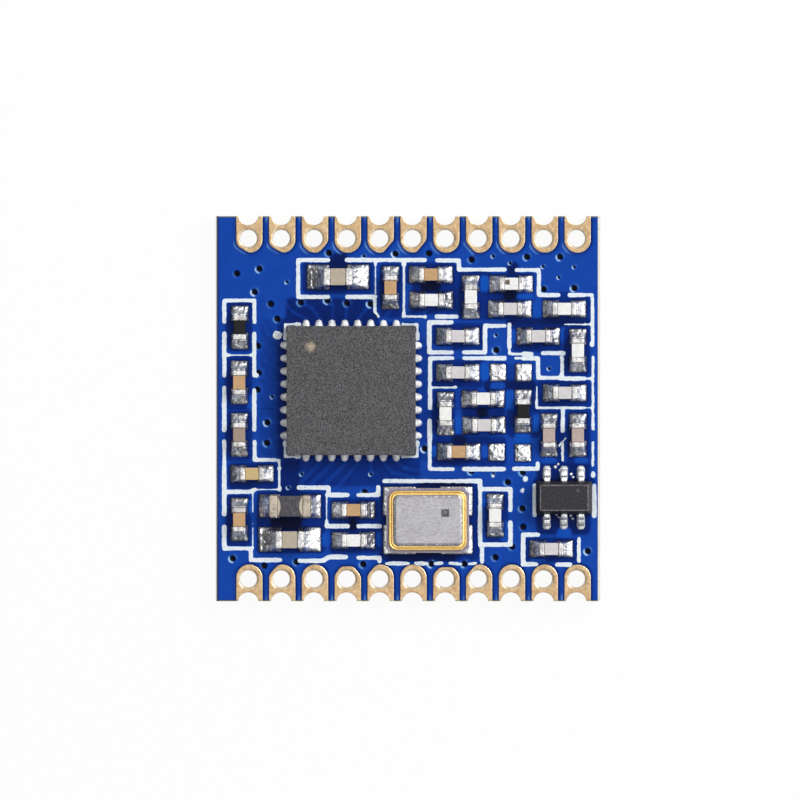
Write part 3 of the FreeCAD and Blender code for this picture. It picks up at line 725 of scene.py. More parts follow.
class Sheet:
    """A square grid over the board whose heights and tones are painted in place before it becomes a mesh."""

    def __init__(self, cell):
        across = round((coat_high[0] - coat_low[0]) / cell)
        deep = round((coat_high[1] - coat_low[1]) / cell)
        self.x = np.linspace(coat_low[0], coat_high[0], across + 1)
        self.y = np.linspace(coat_low[1] + EDGE_TRIM, coat_high[1] - EDGE_TRIM, deep + 1)
        self.layers = {key: np.zeros((deep + 1, across + 1)) for key in ("tone", "pit", "pale", "height")}
        self.layers["tone"] += POUR_TONE

    def part(self, sides, margin):
        """The rows and columns near a box, with their y as a column and their x as a row."""
        left, front, right, rear = sides
        rows = slice(*np.searchsorted(self.y, [front - margin, rear + margin]))
        columns = slice(*np.searchsorted(self.x, [left - margin, right + margin]))
        return (rows, columns), self.x[columns][None, :], self.y[rows][:, None]

    def blend(self, key, where, share, value):
        """Move a layer towards a value by a share."""
        layer = self.layers[key]
        layer[where] += (value - layer[where]) * share

    def paint_area(self, left, front, right, rear, tone, soft=0.09, corner=0.2):
        """A box of one tone with round corners: the tone's share falls with the distance to its outline."""
        sides = board_sides(left, front, right, rear)
        where, x, y = self.part(sides, 3 * soft)
        beyond = area_gap(x, y, sides, corner)
        self.blend("tone", where, 1 - smooth_step(beyond, -soft, soft), tone)

    def paint_gap_and_shade(self, low, high, share, width):
        """A dark band on the coat round a land or a package: round a tinned land partly the gap between the
        land and the coat and partly painted shade, round a package painted shade.
        """
        sides = (low[0], low[1], high[0], high[1])
        where, x, y = self.part(sides, 3 * width)
        beyond = area_gap(x, y, sides, 0.05)
        self.blend("tone", where, share * (1 - smooth_step(beyond, 0.3 * width, width)), GAP_AND_SHADE_TONE)

    def paint_run(self, start, end, half):
        """A straight copper run with a darker border on both sides."""
        (x0, y0), (x1, y1) = spot(*start), spot(*end)
        run_x, run_y = x1 - x0, y1 - y0
        where, x, y = self.part((min(x0, x1), min(y0, y1), max(x0, x1), max(y0, y1)), 0.3)
        along = np.clip(((x - x0) * run_x + (y - y0) * run_y) / (run_x ** 2 + run_y ** 2), 0, 1)
        gap = np.hypot(x - x0 - along * run_x, y - y0 - along * run_y)
        tone = self.layers["tone"][where]
        border = 1 - smooth_step(gap, half + 0.04, half + 0.16)
        core = 1 - smooth_step(gap, half - 0.05, half + 0.07)
        beside = np.maximum(tone - BORDER_DROP * border, np.minimum(tone, BORDER_LEAST))
        self.layers["tone"][where] = np.where(core > 0, tone + (RUN_TONE - tone) * core * 0.5, beside)

    def paint_via(self, across, up, radius, depth, pit, shine):
        """A round hollow inside a low ring. The hollow is painted black, a painted shade of the drilled hole,
        the coat darkens just round it and lightens on the ring, and a painted highlight, a bright crescent,
        lies mostly on the side that faces the light.
        """
        cx, cy = spot(across, up)
        where, x, y = self.part((cx, cy, cx, cy), 0.5)
        gap = np.hypot(x - cx, y - cy)
        ring = bell(gap, 1.9 * radius, 0.6 * radius)
        hollow = 1 - smooth_step(gap, 0.78 * radius, 1.15 * radius)
        facing = ((cx - x) * LIGHT_WAY[0] + (cy - y) * LIGHT_WAY[1]) / np.maximum(gap, 1e-6)
        self.layers["tone"][where] += 0.14 * ring
        self.layers["height"][where] += 0.006 * ring - depth * hollow
        # Painted shade: the coat darkens just round the hole, and the hollow is painted black.
        self.blend("tone", where, 1 - smooth_step(gap, 1.1 * radius, 1.6 * radius), 0.1)
        self.blend("pit", where, pit * hollow, 1.0)
        # Painted highlight: a bright crescent, mostly on the side that faces the light.
        crescent = smooth_step(facing, 0.15, 0.85) + 0.3 * smooth_step(-facing, 0.5, 0.95) + 0.12
        self.layers["pale"][where] += shine * crescent * bell(gap, 1.5 * radius, 0.33 * radius)


def terminal_gap(x, y):
    """Signed distance to the outline of the nearest terminal, negative inside it: a strip that ends in a half
    circle, cut by the clip lines. Also how far the place is from the nearer board edge."""
    last = len(terminal_centres) - 1
    number = np.clip(np.round((x - terminal_centres[0]) / TERMINAL_PITCH), 0, last)
    u = x - terminal_centres[0] - number * TERMINAL_PITCH
    rear = y > 0
    v = np.where(rear, board_high[1] - y, y - board_low[1])
    gap = np.hypot(u, np.maximum(v - TERMINAL_END, 0)) - TERMINAL_HALF
    for in_rear, which, px, py, nx, ny in CLIPPED_ENDS:
        cut = ((u - px) * nx + (v - py) * ny) / math.hypot(nx, ny)
        gap = np.where((rear == in_rear) & (number == which), rounded_most(gap, cut), gap)
    return gap, v


terminal_centres = sorted(float((low[0] + high[0]) / 2) for low, high in boxes_of("front_edge_terminals"))


def open_edges(faces, count):
    """The directed edges that only one face has."""
    edges = np.concatenate([faces[:, [k, (k + 1) % 4]] for k in range(4)])
    forward = edges[:, 0].astype(np.int64) * count + edges[:, 1]
    backward = edges[:, 1].astype(np.int64) * count + edges[:, 0]
    return edges[~np.isin(forward, backward)]


def filled(points, edges, upward):
    """Flat faces that fill closed loops of edges, found by a scan fill."""
    bm = bmesh.new()
    used, back = np.unique(edges, return_inverse=True)
    corners = [bm.verts.new((x, y, 0.0)) for x, y in points[used][:, :2]]
    lines = [bm.edges.new((corners[a], corners[b])) for a, b in back.reshape(-1, 2)]
    bm.verts.index_update()
    made = bmesh.ops.triangle_fill(bm, use_beauty=False, use_dissolve=False, edges=lines, normal=(0, 0, 1))
    faces = [f for f in made["geom"] if isinstance(f, bmesh.types.BMFace)]
    found = np.array([[v.index for v in f.verts] for f in faces]).reshape(-1, 3)
    flat = np.array([v.co[:2] for v in bm.verts])
    bm.free()
    a, b, c = flat[found[:, 0]], flat[found[:, 1]], flat[found[:, 2]]
    turn = (b[:, 0] - a[:, 0]) * (c[:, 1] - a[:, 1]) - (b[:, 1] - a[:, 1]) * (c[:, 0] - a[:, 0])
    found[(turn > 0) != upward] = found[(turn > 0) != upward][:, ::-1]
    return used[found]


def coat_shape(sheet, rows, floor, side):
    """The sheet's grid over the rows asked for, without the cells inside the terminals, with a skirt down to
    the board and a flat face under it. Side is 1 for the top coat and -1 for the bottom one."""
    x, y = np.meshgrid(sheet.x, sheet.y[rows])
    height = sheet.layers["height"][rows]
    points = np.stack([x, y, height], -1).reshape(-1, 3)
    faces = net(*x.shape)
    middle = points[faces].mean(axis=1)
    gap, _ = terminal_gap(middle[:, 0], middle[:, 1])
    faces = faces[gap > -COAT_UNDERLAP]
    rim = open_edges(faces, len(points))
    used, back = np.unique(rim, return_inverse=True)
    low = points[used].copy()
    low[:, 2] = floor
    below = len(points) + back.reshape(-1, 2)
    skirt = np.column_stack([rim[:, 1], rim[:, 0], below[:, 0], below[:, 1]])
    points = np.concatenate([points, low])
    base = filled(points, below, upward=False)
    blocks = [np.concatenate([faces, skirt]), base]
    values = {key: np.concatenate([sheet.layers[key][rows].ravel(), np.full(len(low), fill)])
              for key, fill in (("tone", 0.3), ("pit", 0.0), ("pale", 0.0))}
    keep = np.unique(np.concatenate([block.ravel() for block in blocks]))
    order = np.zeros(len(points), int)
    order[keep] = np.arange(len(keep))
    blocks = [order[block] for block in blocks]
    if side < 0:
        blocks = [block[:, ::-1] for block in blocks]
    return (points[keep], blocks), {key: value[keep] for key, value in values.items()}


def coat_finish(name, colours):
    """Colour follows the tone, whose darkest blue is partly painted shade. The via hollows are painted black,
    a painted shade, thin coat and painted highlights turn towards the haze colour and the glint, and the
    surface is slightly wavy.
    """
    finish = Finish(name, Specular_IOR_Level=0.05)
    tone = finish.value("tone") + (finish.grain(0.55, 3.0) - 0.5) * 0.16
    blues = (colours.deep, colours.bare, colours.pour, colours.patch)
    colour = finish.ramp(tone, *zip(BLUE_TONES, blues))
    # Painted highlight and haze: the coat turns towards the haze colour, and where it is brightest towards
    # the glint.
    thin = finish.value("pale") * (finish.grain(0.07, 2.0) * 0.7 + 0.65)
    colour = finish.stain(colour, tuple(colours.pale), thin, 0.0, 0.6)
    colour = finish.stain(colour, tuple(colours.glint), thin, 0.5, 0.9)
    # Painted shade: the via hollows are painted nearly black.
    colour = finish.mix(finish.value("pit"), colour, (0.0005, 0.0005, 0.001))
    roughness = finish.grain(0.3, 3.0) * 0.15 + 0.26
    return finish.done(colour, roughness, height=finish.grain(0.16, 3.0), depth=0.004)


def settle_edges(sheet, level, relief, side):
    """Turn painted tones into heights: copper steps up, and the coat dips to the terminals with a low ridge
    round them. The coat is darker in the dip, a painted shade, and the ridge carries a painted highlight
    where it faces the light. Between the terminals the coat thins to a haze at the board's edge, which is
    also painted light, brighter where it faces the light."""
    x, y = np.meshgrid(sheet.x, sheet.y)
    gap, inward = terminal_gap(x, y)
    rise, run = np.gradient(gap, sheet.y, sheet.x)
    facing = -(run * LIGHT_WAY[0] + rise * LIGHT_WAY[1])
    layers = sheet.layers
    raised = smooth_step(layers["tone"], 0.32, 0.58)
    height = layers["height"] - relief * (1 - raised) + 0.002 * smooth_noise(x, y, 0.21, 11)
    height += RIDGE_HEIGHT * bell(gap, RIDGE_PLACE, RIDGE_HALF)
    height = height * smooth_step(gap, 0.0, 0.04) - RIM_DIP * (1 - smooth_step(gap, 0.0, 0.05))
    layers["height"] = level + side * np.clip(height, LOWEST_DIP, HIGHEST_RISE if side > 0 else 0.0)
    layers["tone"] = np.where(gap < 0.13, np.minimum(layers["tone"], 0.5), layers["tone"])
    # Painted shade: the coat darkens in its dip next to each terminal.
    layers["tone"] -= 0.34 * (1 - smooth_step(gap, 0.015, 0.055))
    # Painted highlight: the ridge is lighter where it faces the light.
    highlight_arc = smooth_step(facing, 0.76, 0.99) * bell(gap, RIDGE_PLACE + 0.005, RIDGE_HALF)
    layers["pale"] += 0.55 * highlight_arc * (0.8 + 0.2 * smooth_noise(x, y, 0.25, 6))
    # Between the terminals, at the board's edge, a haze: partly thin coat and partly painted light, brighter
    # where it faces the light.
    tip = (1 - smooth_step(inward, 0.03, 0.42)) * (abs(x) < -terminal_centres[0])
    between = smooth_step(gap, 0.03, 0.10) * smooth_step(facing + 0.6 * smooth_noise(x, y, 0.4, 8), -0.9, 0.9)
    layers["pale"] += tip * between * (0.46 + 0.18 * smooth_noise(x, y, 0.3, 5))
    layers["pale"] = np.clip(layers["pale"], 0, 1.2)


class RADIO_OT_top_coat(bpy.types.Operator):
    """Blue top coat over copper pour, traces and vias"""

    bl_idname = "radio.top_coat"
    bl_label = "Top coat"

    def execute(self, context):
        """Paint tones and heights on a fine grid, and make it a mesh in two halves."""
        colours = looks("coat")
        sheet = Sheet(colours.cell * METRE)
        for area in COAT_AREAS:
            sheet.paint_area(*area)
        for trace in TRACES:
            for start, end in zip(trace, trace[1:]):
                sheet.paint_run(start, end, TRACE_HALF)
        # Painted shade: dark bands on the coat round the lands, and wider ones round the chip, the crystal
        # and the switch.
        for node in ("chip_part_solder", "spare_lands", "crystal_solder"):
            for low, high in boxes_of(node):
                sheet.paint_gap_and_shade(low, high, 0.7, 0.07)
        for node in ("radio_chip_package", "crystal_base", "antenna_switch_package"):
            sheet.paint_gap_and_shade(*box_of(node), 0.5, 0.16)
        # Each via: a hollow painted black as painted shade, with a painted highlight beside it.
        for number, place in enumerate(OPEN_VIAS):
            shine = 0.62 + 0.5 * float(smooth_noise(number, 0.0, 0.7, 3))
            sheet.paint_via(*place, *OPEN_VIA, shine)
        for place in CLOSED_VIAS:
            sheet.paint_via(*place, *CLOSED_VIA, 1.2)
        settle_edges(sheet, SEAT, colours.relief * METRE, 1)
        finish = coat_finish("blue_coat", colours)
        middle = len(sheet.y) // 2
        for name, rows in (("top_coat_front", slice(0, middle + 1)), ("top_coat_rear", slice(middle, None))):
            shape, values = coat_shape(sheet, rows, coat_low[2], 1)
            add_piece(name, shape, finish, ["solder_mask_top"], values)
        return {"FINISHED"}


class RADIO_OT_bottom_coat(bpy.types.Operator):
    """Blue bottom coat over a ground pour with vias"""

    bl_idname = "radio.bottom_coat"
    bl_label = "Bottom coat"

    def execute(self, context):
        """The same grid on a wider cell, mirrored downwards."""
        colours = looks("coat")
        sheet = Sheet(colours.cell * METRE * 1.7)
        for left in (0.5, 96.9):
            sheet.paint_area(left, 2, left + 2.6, 98, 0.3)
        for front, rear in ((10.2, 12.0), (88.0, 89.8)):
            sheet.paint_area(3, front, 97, rear, 0.28)
        # Each via under the board: painted shade in its hollow and a painted highlight beside it.
        for place in OPEN_VIAS:
            sheet.paint_via(*place, *UNDER_VIA, 0.5)
        low, high = box_of("solder_mask_bottom")
        settle_edges(sheet, low[2], colours.relief * METRE, -1)
        shape, values = coat_shape(sheet, slice(None), high[2], -1)
        finish = coat_finish("blue_undercoat", colours)
        add_piece("bottom_coat", shape, finish, ["solder_mask_bottom"], values)
        return {"FINISHED"}


# The terminals

# The rounded rims of a land: how far each runs over the land and how far it drops
HOLE_LIP = (0.19, 0.065)
EDGE_LIP = (0.065, 0.04)

# How deep the dents in a land are
LAND_DENT = 0.004

# How many points lie along the notch, the side and the round inner end
NOTCH_POINTS = 11
SIDE_POINTS = 6
END_POINTS = 12


def terminal_columns(shift):
    """Matched points on the hole and on the outline, from the notch round to the inner end and back. The
    hole's angle runs evenly inside each stretch: notch, board edge, side, round end. The drill's shift along
    X moves the hole and the notch."""
    notch_top = math.acos(NOTCH_OVERHANG / NOTCH_RADIUS)
    turn = np.linspace(0, notch_top, NOTCH_POINTS)
    stretches = [np.column_stack([NOTCH_RADIUS * np.sin(turn), NOTCH_RADIUS * np.cos(turn) - NOTCH_OVERHANG])]
    wall_end = stretches[0][-1, 0] + PLATING
    stretches.append(np.array([[wall_end, 0.0], [TERMINAL_HALF - 0.02, 0.0]]))
    straight = np.linspace(0.02, TERMINAL_END, SIDE_POINTS)
    stretches.append(np.column_stack([np.full(SIDE_POINTS, TERMINAL_HALF), straight]))
    turn = np.radians(np.linspace(7.5, 90, END_POINTS))
    round_end = np.column_stack([np.cos(turn), np.sin(turn)])
    stretches.append(TERMINAL_HALF * round_end + (0, TERMINAL_END))
    angles = [np.linspace(0, 58, NOTCH_POINTS), [60, 62], np.linspace(64, 96, SIDE_POINTS),
              np.linspace(102, 180, END_POINTS)]
    outer = np.concatenate(stretches)
    inward = np.concatenate([np.zeros(NOTCH_POINTS + 1), np.ones(1 + SIDE_POINTS + END_POINTS)])
    radians = np.radians(np.concatenate(angles))
    inner = np.column_stack([HOLE_RADIUS * np.sin(radians), HOLE_SETBACK - HOLE_RADIUS * np.cos(radians)])
    mirror = np.array([-1, 1])
    inner = np.concatenate([inner, inner[-2:0:-1] * mirror])
    outer = np.concatenate([outer, outer[-2:0:-1] * mirror])
    inward = np.concatenate([inward, inward[-2:0:-1]])
    inner[:, 0] += shift
    outer[:, 0] += shift * (1 - inward)
    return inner, outer, inward


def terminal_shape(number, rear, seed):
    """One terminal as a closed skin. Each column is a section from the hole's wall over the upper land and
    down its outer edge, back to the plated wall, down it, and round the lower land. On the notch the outer
    edge is the notch's own wall. Both edges of the land are quarter ellipses. Returns the shape and how near
    each point is to a rim."""
    side = -1 if rear else 1
    shift = DRILL_SHIFT * side
    inner, outer, inward = terminal_columns(shift)
    for in_rear, which, px, py, nx, ny in CLIPPED_ENDS:
        if in_rear == rear and which == number:
            way = np.array([nx * side, ny]) / math.hypot(nx, ny)
            over = rounded_most((outer - (px * side, py)) @ way, 0) * (outer[:, 1] > TERMINAL_END / 2)
            outer = outer - over[:, None] * way
    reach = outer - inner
    length = np.linalg.norm(reach, axis=1)[:, None]
    ray = reach / length
    wall = inner + (inner - (shift, HOLE_SETBACK)) / HOLE_RADIUS * PLATING
    wall = np.where(inward[:, None] > 0, wall, outer)
    hole_lip, edge_lip = np.minimum(HOLE_LIP[0], 0.42 * length), np.minimum(EDGE_LIP[0], 0.22 * length)
    bend = np.radians([0, 18, 36, 54, 72, 90])
    section = [(inner + ray * hole_lip * (1 - math.cos(a)), HOLE_LIP[1] * (1 - math.sin(a)), math.cos(a))
               for a in bend]
    land = length - hole_lip - edge_lip
    section += [(inner + ray * (hole_lip + land * share), 0.0, 0.0) for share in (0.33, 0.67)]
    section += [(outer - ray * edge_lip * (1 - math.sin(a)), EDGE_LIP[1] * (1 - math.cos(a)), math.sin(a))
                for a in bend]
    top, skin = coat_high[2], coat_high[2] - coat_low[2]
    rows = [np.column_stack([places, np.full(len(places), top - drop)]) for places, drop, _ in section]
    rims = [np.full(len(outer), rim) for _, _, rim in section]
    rows += [np.column_stack([places, np.full(len(outer), top - skin)]) for places in (outer, wall)]
    rims += [np.full(len(outer), 0.5)] * 2
    upper = np.stack(rows)
    lower = upper[::-1].copy()
    lower[:, :, 2] = top - lower[:, :, 2]
    rim = np.concatenate([np.stack(rims), np.stack(rims)[::-1]])
    points = np.concatenate([upper, lower])
    dent = smooth_noise(points[:, :, 0] + number * 3.1, points[:, :, 1] + 7 * side, 0.17, seed) - 1
    points[:, :, 2] += np.where((rim < 0.4) & (points[:, :, 2] > top - 0.01), LAND_DENT * dent, 0)
    edge = board_high[1] if rear else board_low[1]
    points = points * (side, side, 1) + (terminal_centres[number], edge, 0.0)
    rows_count, columns = rim.shape
    closing = net(2, columns, wrap=True)
    closing = np.where(closing >= columns, closing - columns, closing + (rows_count - 1) * columns)
    faces = np.concatenate([net(rows_count, columns, wrap=True), closing])
    points = points.reshape(-1, 3)
    a, b, c, d = (points[faces[:, k]] for k in range(4))
    volume = (a * (np.cross(b, c) + np.cross(c, d))).sum()
    return (points, [faces if volume > 0 else faces[:, ::-1]]), rim.ravel()


class RADIO_OT_terminals(bpy.types.Operator):
    """Castellated terminals along the front and the rear edge"""

    bl_idname = "radio.terminals"
    bl_label = "Edge terminals"

    def execute(self, context):
        """Build eleven skins for each row and join each row into one piece."""
        colours = looks("terminal")
        finish = Finish("worn_gilt")
        blotch = finish.grain(0.16, 4.0, 0.65)
        fine = finish.grain(0.05, 3.0, 0.6)
        scratch = finish.grain(0.30, 4.0, 0.7, stretch=(2.6, 1.0, 1.0))
        gold, tarnish, rim = tuple(colours.gold), tuple(colours.tarnish), tuple(colours.rim)
        colour = finish.stain(gold, tarnish, blotch, 0.36, 0.66, 0.6)
        colour = finish.stain(colour, shade(tarnish, 0.7), fine, 0.5, 0.72, 0.35)
        colour = finish.stain(colour, rim, scratch, 0.54, 0.70, 0.25)
        # Painted highlight: the rounded rims round the hole and along the edges turn cream and less metallic.
        wear_and_rim_highlight = finish.ease(finish.value("rim") + (fine - 0.5) * 0.5, 0.22, 0.8) * 0.7
        colour = finish.mix(wear_and_rim_highlight, colour, rim)
        height = blotch * 0.5 + fine * 0.5
        metallic = 0.9 - wear_and_rim_highlight * 0.75
        material = finish.done(colour, blotch * 0.15 + 0.14, metallic=metallic, height=height, depth=0.009)
        for row, rear in (("front", False), ("rear", True)):
            made = [terminal_shape(number, rear, 21) for number in range(len(terminal_centres))]
            shape = joined([shape for shape, _ in made])
            add_piece(row + "_terminals", shape, material, [row + "_edge_terminals"],
                      {"rim": np.concatenate([rim for _, rim in made])})
        return {"FINISHED"}


# The print

# How far an outline of ink wavers, how much the width of the strokes varies, how far thin strokes draw in,
# and the least that a stroke may spread, which keeps its innermost rings from crossing
INK_WOBBLE = 0.010
INK_VARIATION = 0.014
THIN_DRAW = 0.042
LEAST_SPREAD = -0.020

# How far apart the points of an outline of ink stand
INK_STEP = 0.03

# How the rings of raised ink step in from its outline, how high each lies, and how much edge each shows
INK_PROFILE = [(0.0, -0.02, 1.0), (0.0, 0.006, 1.0), (0.005, 0.012, 0.8), (0.014, 0.015, 0.3)]


def boundary_loops(node, height):
    """The closed outlines of a CAD node's flat upper faces, each as a run of points with the print on its
    left."""
    points, triangles = mesh_of(node)
    flat = triangles[(abs(points[triangles][:, :, 2] - height) < 1e-3).all(axis=1)]
    edges = np.concatenate([flat[:, [k, (k + 1) % 3]] for k in range(3)])
    seen = {(a, b) for a, b in edges.tolist()}
    following = {a: b for a, b in seen if (b, a) not in seen}
    loops = []
    while following:
        start, current = following.popitem()
        loop = [start]
        while current != start:
            loop.append(current)
            current = following.pop(current)
        loops.append(points[loop][:, :2])
    return loops


def softened(loop, spacing, soft, seed):
    """A loop walked at even steps and averaged along itself with a bell-shaped weight, which rounds its
    corners, then moved in and out a little by noise. Returns places and inward directions."""
    closed = np.concatenate([loop, loop[:1]])
    walked = np.concatenate([[0], np.cumsum(np.linalg.norm(np.diff(closed, axis=0), axis=1))])
    count = max(int(walked[-1] / spacing), 12)
    at = np.linspace(0, walked[-1], count, endpoint=False)
    even = np.column_stack([np.interp(at, walked, closed[:, k]) for k in range(2)])
    step = walked[-1] / count
    reach = int(min(3 * soft / step, count // 3))
    weights = np.exp(-0.5 * (np.arange(-reach, reach + 1) * step / soft) ** 2)
    weights /= weights.sum()
    smooth = sum(weight * np.roll(even, k, axis=0) for k, weight in zip(range(-reach, reach + 1), weights))
    ahead = np.roll(smooth, -1, axis=0) - np.roll(smooth, 1, axis=0)
    ahead /= np.maximum(np.linalg.norm(ahead, axis=1), 1e-9)[:, None]
    inward = np.column_stack([-ahead[:, 1], ahead[:, 0]])
    wobble = INK_WOBBLE * smooth_noise(smooth[:, 0], smooth[:, 1], 0.09, seed)
    return smooth + inward * wobble[:, None], inward


# Spots of stray ink: the two ends of each in hundredths of the board, then half its width in millimetres
INK_SPOTS = [
    (43.8, 9.8, 50.5, 9.8, 0.062), (51.5, 9.9, 55.5, 9.7, 0.058), (56.6, 9.7, 59.3, 10.0, 0.055),
    (60.3, 9.9, 64.2, 9.6, 0.058), (65.3, 9.6, 68.1, 9.9, 0.055), (80.3, 31.0, 80.7, 32.6, 0.10),
    (79.7, 28.0, 79.9, 29.5, 0.045), (98.1, 31.9, 98.1, 33.9, 0.095), (89.0, 40.0, 91.2, 42.6, 0.05),
    (9.6, 19.9, 9.6, 20.4, 0.05), (71.9, 32.2, 72.3, 32.8, 0.05),
]


def ink_spot(x0, y0, x1, y1, half):
    """An ellipse whose long axis joins two places, as a run of points with the ink on its left."""
    start, end = np.array(spot(x0, y0)), np.array(spot(x1, y1))
    along = (end - start) / 2
    side = np.array([-along[1], along[0]]) / np.linalg.norm(along) * half
    turn = np.radians(np.arange(0, 360, 15))[:, None]
    return (start + end) / 2 + along * np.cos(turn) + side * np.sin(turn)


# Where the strokes are thin: left, front, right and rear in hundredths of the board
THIN_INK = [
    (3.4, 62.9, 9.0, 64.9), (41.0, 72.0, 45.2, 79.2), (75.2, 62.0, 80.0, 66.0),
    (39.6, 79.4, 42.9, 87.4), (46.8, 74.8, 50.9, 87.4), (82.0, 51.8, 84.0, 56.6), (88.6, 71.2, 96.2, 73.4),
    (95.8, 67.0, 98.0, 79.4), (55.6, 55.3, 62.2, 57.3), (88.0, 59.0, 90.0, 63.6),
    (8.6, 14.0, 10.6, 28.6), (10.4, 28.0, 16.6, 30.4), (15.6, 29.4, 17.8, 34.5), (27.9, 20.8, 29.9, 27.6),
    (95.8, 34.5, 98.8, 64.0), (89.4, 35.0, 91.2, 42.5), (15.5, 34.5, 21.0, 40.5), (48.5, 34.5, 54.5, 40.5),
    (15.5, 69.5, 21.0, 75.0), (48.5, 69.5, 54.5, 75.0),
]


def ink_spread(places, spread):
    """How far the ink runs out at each place: unevenly everywhere, and drawn in where the strokes are
    thin."""
    x, y = places.T
    wide = spread + INK_VARIATION * smooth_noise(x, y, 0.9, 12)
    for area in THIN_INK:
        inside = -area_gap(x, y, board_sides(*area), 0.05)
        wide = wide - THIN_DRAW * smooth_step(inside, 0.0, 0.1)
    return np.maximum(wide, LEAST_SPREAD)


def raised_print(loops, spread):
    """Ink with a rounded edge: rings step in from each outline while they rise, and flat faces fill the
    innermost and the outermost ring. Returns the shape and how near each point is to an edge."""
    points, faces, inner, outer, edge, start = [], [], [], [], [], 0
    for places, inward in loops:
        count = len(places)
        wide = ink_spread(places, spread)[:, None]
        for inset, rise, near in INK_PROFILE:
            points.append(np.column_stack([places + inward * (inset - wide), np.full(count, SEAT + rise)]))
            edge.append(np.full(count, near))
        faces.append(net(len(INK_PROFILE), count, wrap=True) + start)
        ring = np.column_stack([np.arange(count), np.roll(np.arange(count), -1)]) + start
        outer.append(ring)
        inner.append(ring + (len(INK_PROFILE) - 1) * count)
        start += len(INK_PROFILE) * count
    points = np.concatenate(points)
    top = filled(points, np.concatenate(inner), upward=True)
    bottom = filled(points, np.concatenate(outer), upward=False)
    return (points, [np.concatenate(faces), np.concatenate([top, bottom])]), np.concatenate(edge)


class RADIO_OT_print(bpy.types.Operator):
    """White printed outlines"""

    bl_idname = "radio.outline_print"
    bl_label = "Outline print"

    def execute(self, context):
        """Soften the CAD outlines and add the stray spots of ink beside them, each a shell of its own."""
        colours = looks("print")
        loops = boundary_loops("outline_print", box_of("outline_print")[1][2])
        strokes = len(loops)
        loops += [ink_spot(*place) for place in INK_SPOTS]
        soft = [softened(loop, INK_STEP, colours.soft * METRE, 31 + k) for k, loop in enumerate(loops)]
        finish = Finish("white_ink", Specular_IOR_Level=0.2)
        # Here this pattern is only the ink's wear: it thins the strokes and carries no highlight.
        wear_and_rim_highlight = finish.grain(0.11, 3.0, 0.6)
        near = finish.ease(finish.value("edge") + (wear_and_rim_highlight - 0.5) * 0.9, 0.2, 0.95)
        colour = finish.mix(near, tuple(colours.ink), tuple(colours.edge))
        colour = finish.stain(colour, shade(colours.edge, 0.8), wear_and_rim_highlight, 0.62, 0.8, 0.45)
        material = finish.done(colour, 0.6, height=finish.grain(0.05, 2.0), depth=0.006)
        groups = [soft[:strokes]] + [[loop] for loop in soft[strokes:]]
        made = [raised_print(group, colours.spread * METRE) for group in groups]
        shape = joined([shape for shape, _ in made])
        edge = np.concatenate([edge for _, edge in made])
        add_piece("printed_outlines", shape, material, ["outline_print"], {"edge": edge})
        return {"FINISHED"}


# Solder

# How high the round toes of solder stand, and how high the rounded humps on them are
TOE_HEIGHT = 0.085
TOE_HUMPS = 0.004

# A land's outline: how far its solder runs past it, its corner, and how far in it counts as rim
LAND_MARGIN = 0.02
LAND_CORNER = 0.06
LAND_RIM = 0.12

# How much narrower than its land a plated end is on each side, for small parts and for large ones
CAP_SETBACK = (0.08, 0.12)
SMALL_LAND = 0.8

# Stray beads of solder: across, up and radius in millimetres
SOLDER_FLECKS = [
    (89.9, 23.8, 0.035), (90.4, 24.3, 0.03), (91.0, 23.3, 0.04), (94.8, 23.6, 0.035), (94.2, 24.2, 0.03),
    (95.2, 22.8, 0.03), (90.6, 33.2, 0.035), (91.2, 33.9, 0.03), (94.6, 33.6, 0.04), (95.2, 34.2, 0.03),
    (90.2, 34.6, 0.03), (94.0, 22.2, 0.03),
    (88.3, 34.9, 0.06), (89.0, 35.6, 0.045), (89.5, 34.0, 0.05), (92.4, 33.0, 0.06), (92.9, 32.2, 0.05),
    (88.6, 22.7, 0.07), (89.2, 21.9, 0.05), (92.3, 22.3, 0.06), (92.8, 21.5, 0.05), (86.0, 31.4, 0.03),
]


def film(depth, thickness, reach):
    """Solder that rises from its outline to its full thickness."""
    return thickness * (1 - np.exp(-np.maximum(depth, 0) / reach))


def blanket(origin, along, length, width, height_at, cell=0.032, base=0.035):
    """A solder skin over one land: a grid in the land's own directions whose height comes from a function of
    the distance along it and across it, closed by a skirt and a flat face under it. Returns the shape and how
    near each point is to the land's outline."""
    along = np.asarray(along, float)
    side = np.array([-along[1], along[0]])
    rows, columns = max(int(length / cell), 8), max(int(width / cell), 8)
    a = np.linspace(-LAND_MARGIN, length + LAND_MARGIN, rows)[:, None]
    b = np.linspace(-width / 2 - LAND_MARGIN, width / 2 + LAND_MARGIN, columns)[None, :]
    outside = box_gap(a - length / 2, b, length / 2, width / 2, LAND_CORNER)
    x = origin[0] + a * along[0] + b * side[0]
    y = origin[1] + a * along[1] + b * side[1]
    z = SEAT + height_at(a, b, -outside, x, y)
    z = np.where(outside > 0, np.minimum(z, SEAT - outside * 1.2), z)
    points = np.stack([x, y, z], -1).reshape(-1, 3)
    edge = grid_rim(rows, columns)
    low = points[edge].copy()
    low[:, 2] = SEAT - base
    ring = rows * columns + np.arange(len(edge))
    skirt = np.column_stack([edge, np.roll(edge, -1), np.roll(ring, -1), ring])[:, ::-1]
    faces = np.concatenate([net(rows, columns), skirt])
    shape = welded(np.concatenate([points, low]), [faces, ring[None, ::-1]])
    place = shape[0][:, :2] - origin
    depth = -box_gap(place @ along - length / 2, place @ side, length / 2, width / 2, LAND_CORNER)
    return shape, 1 - smooth_step(depth, 0.0, LAND_RIM)


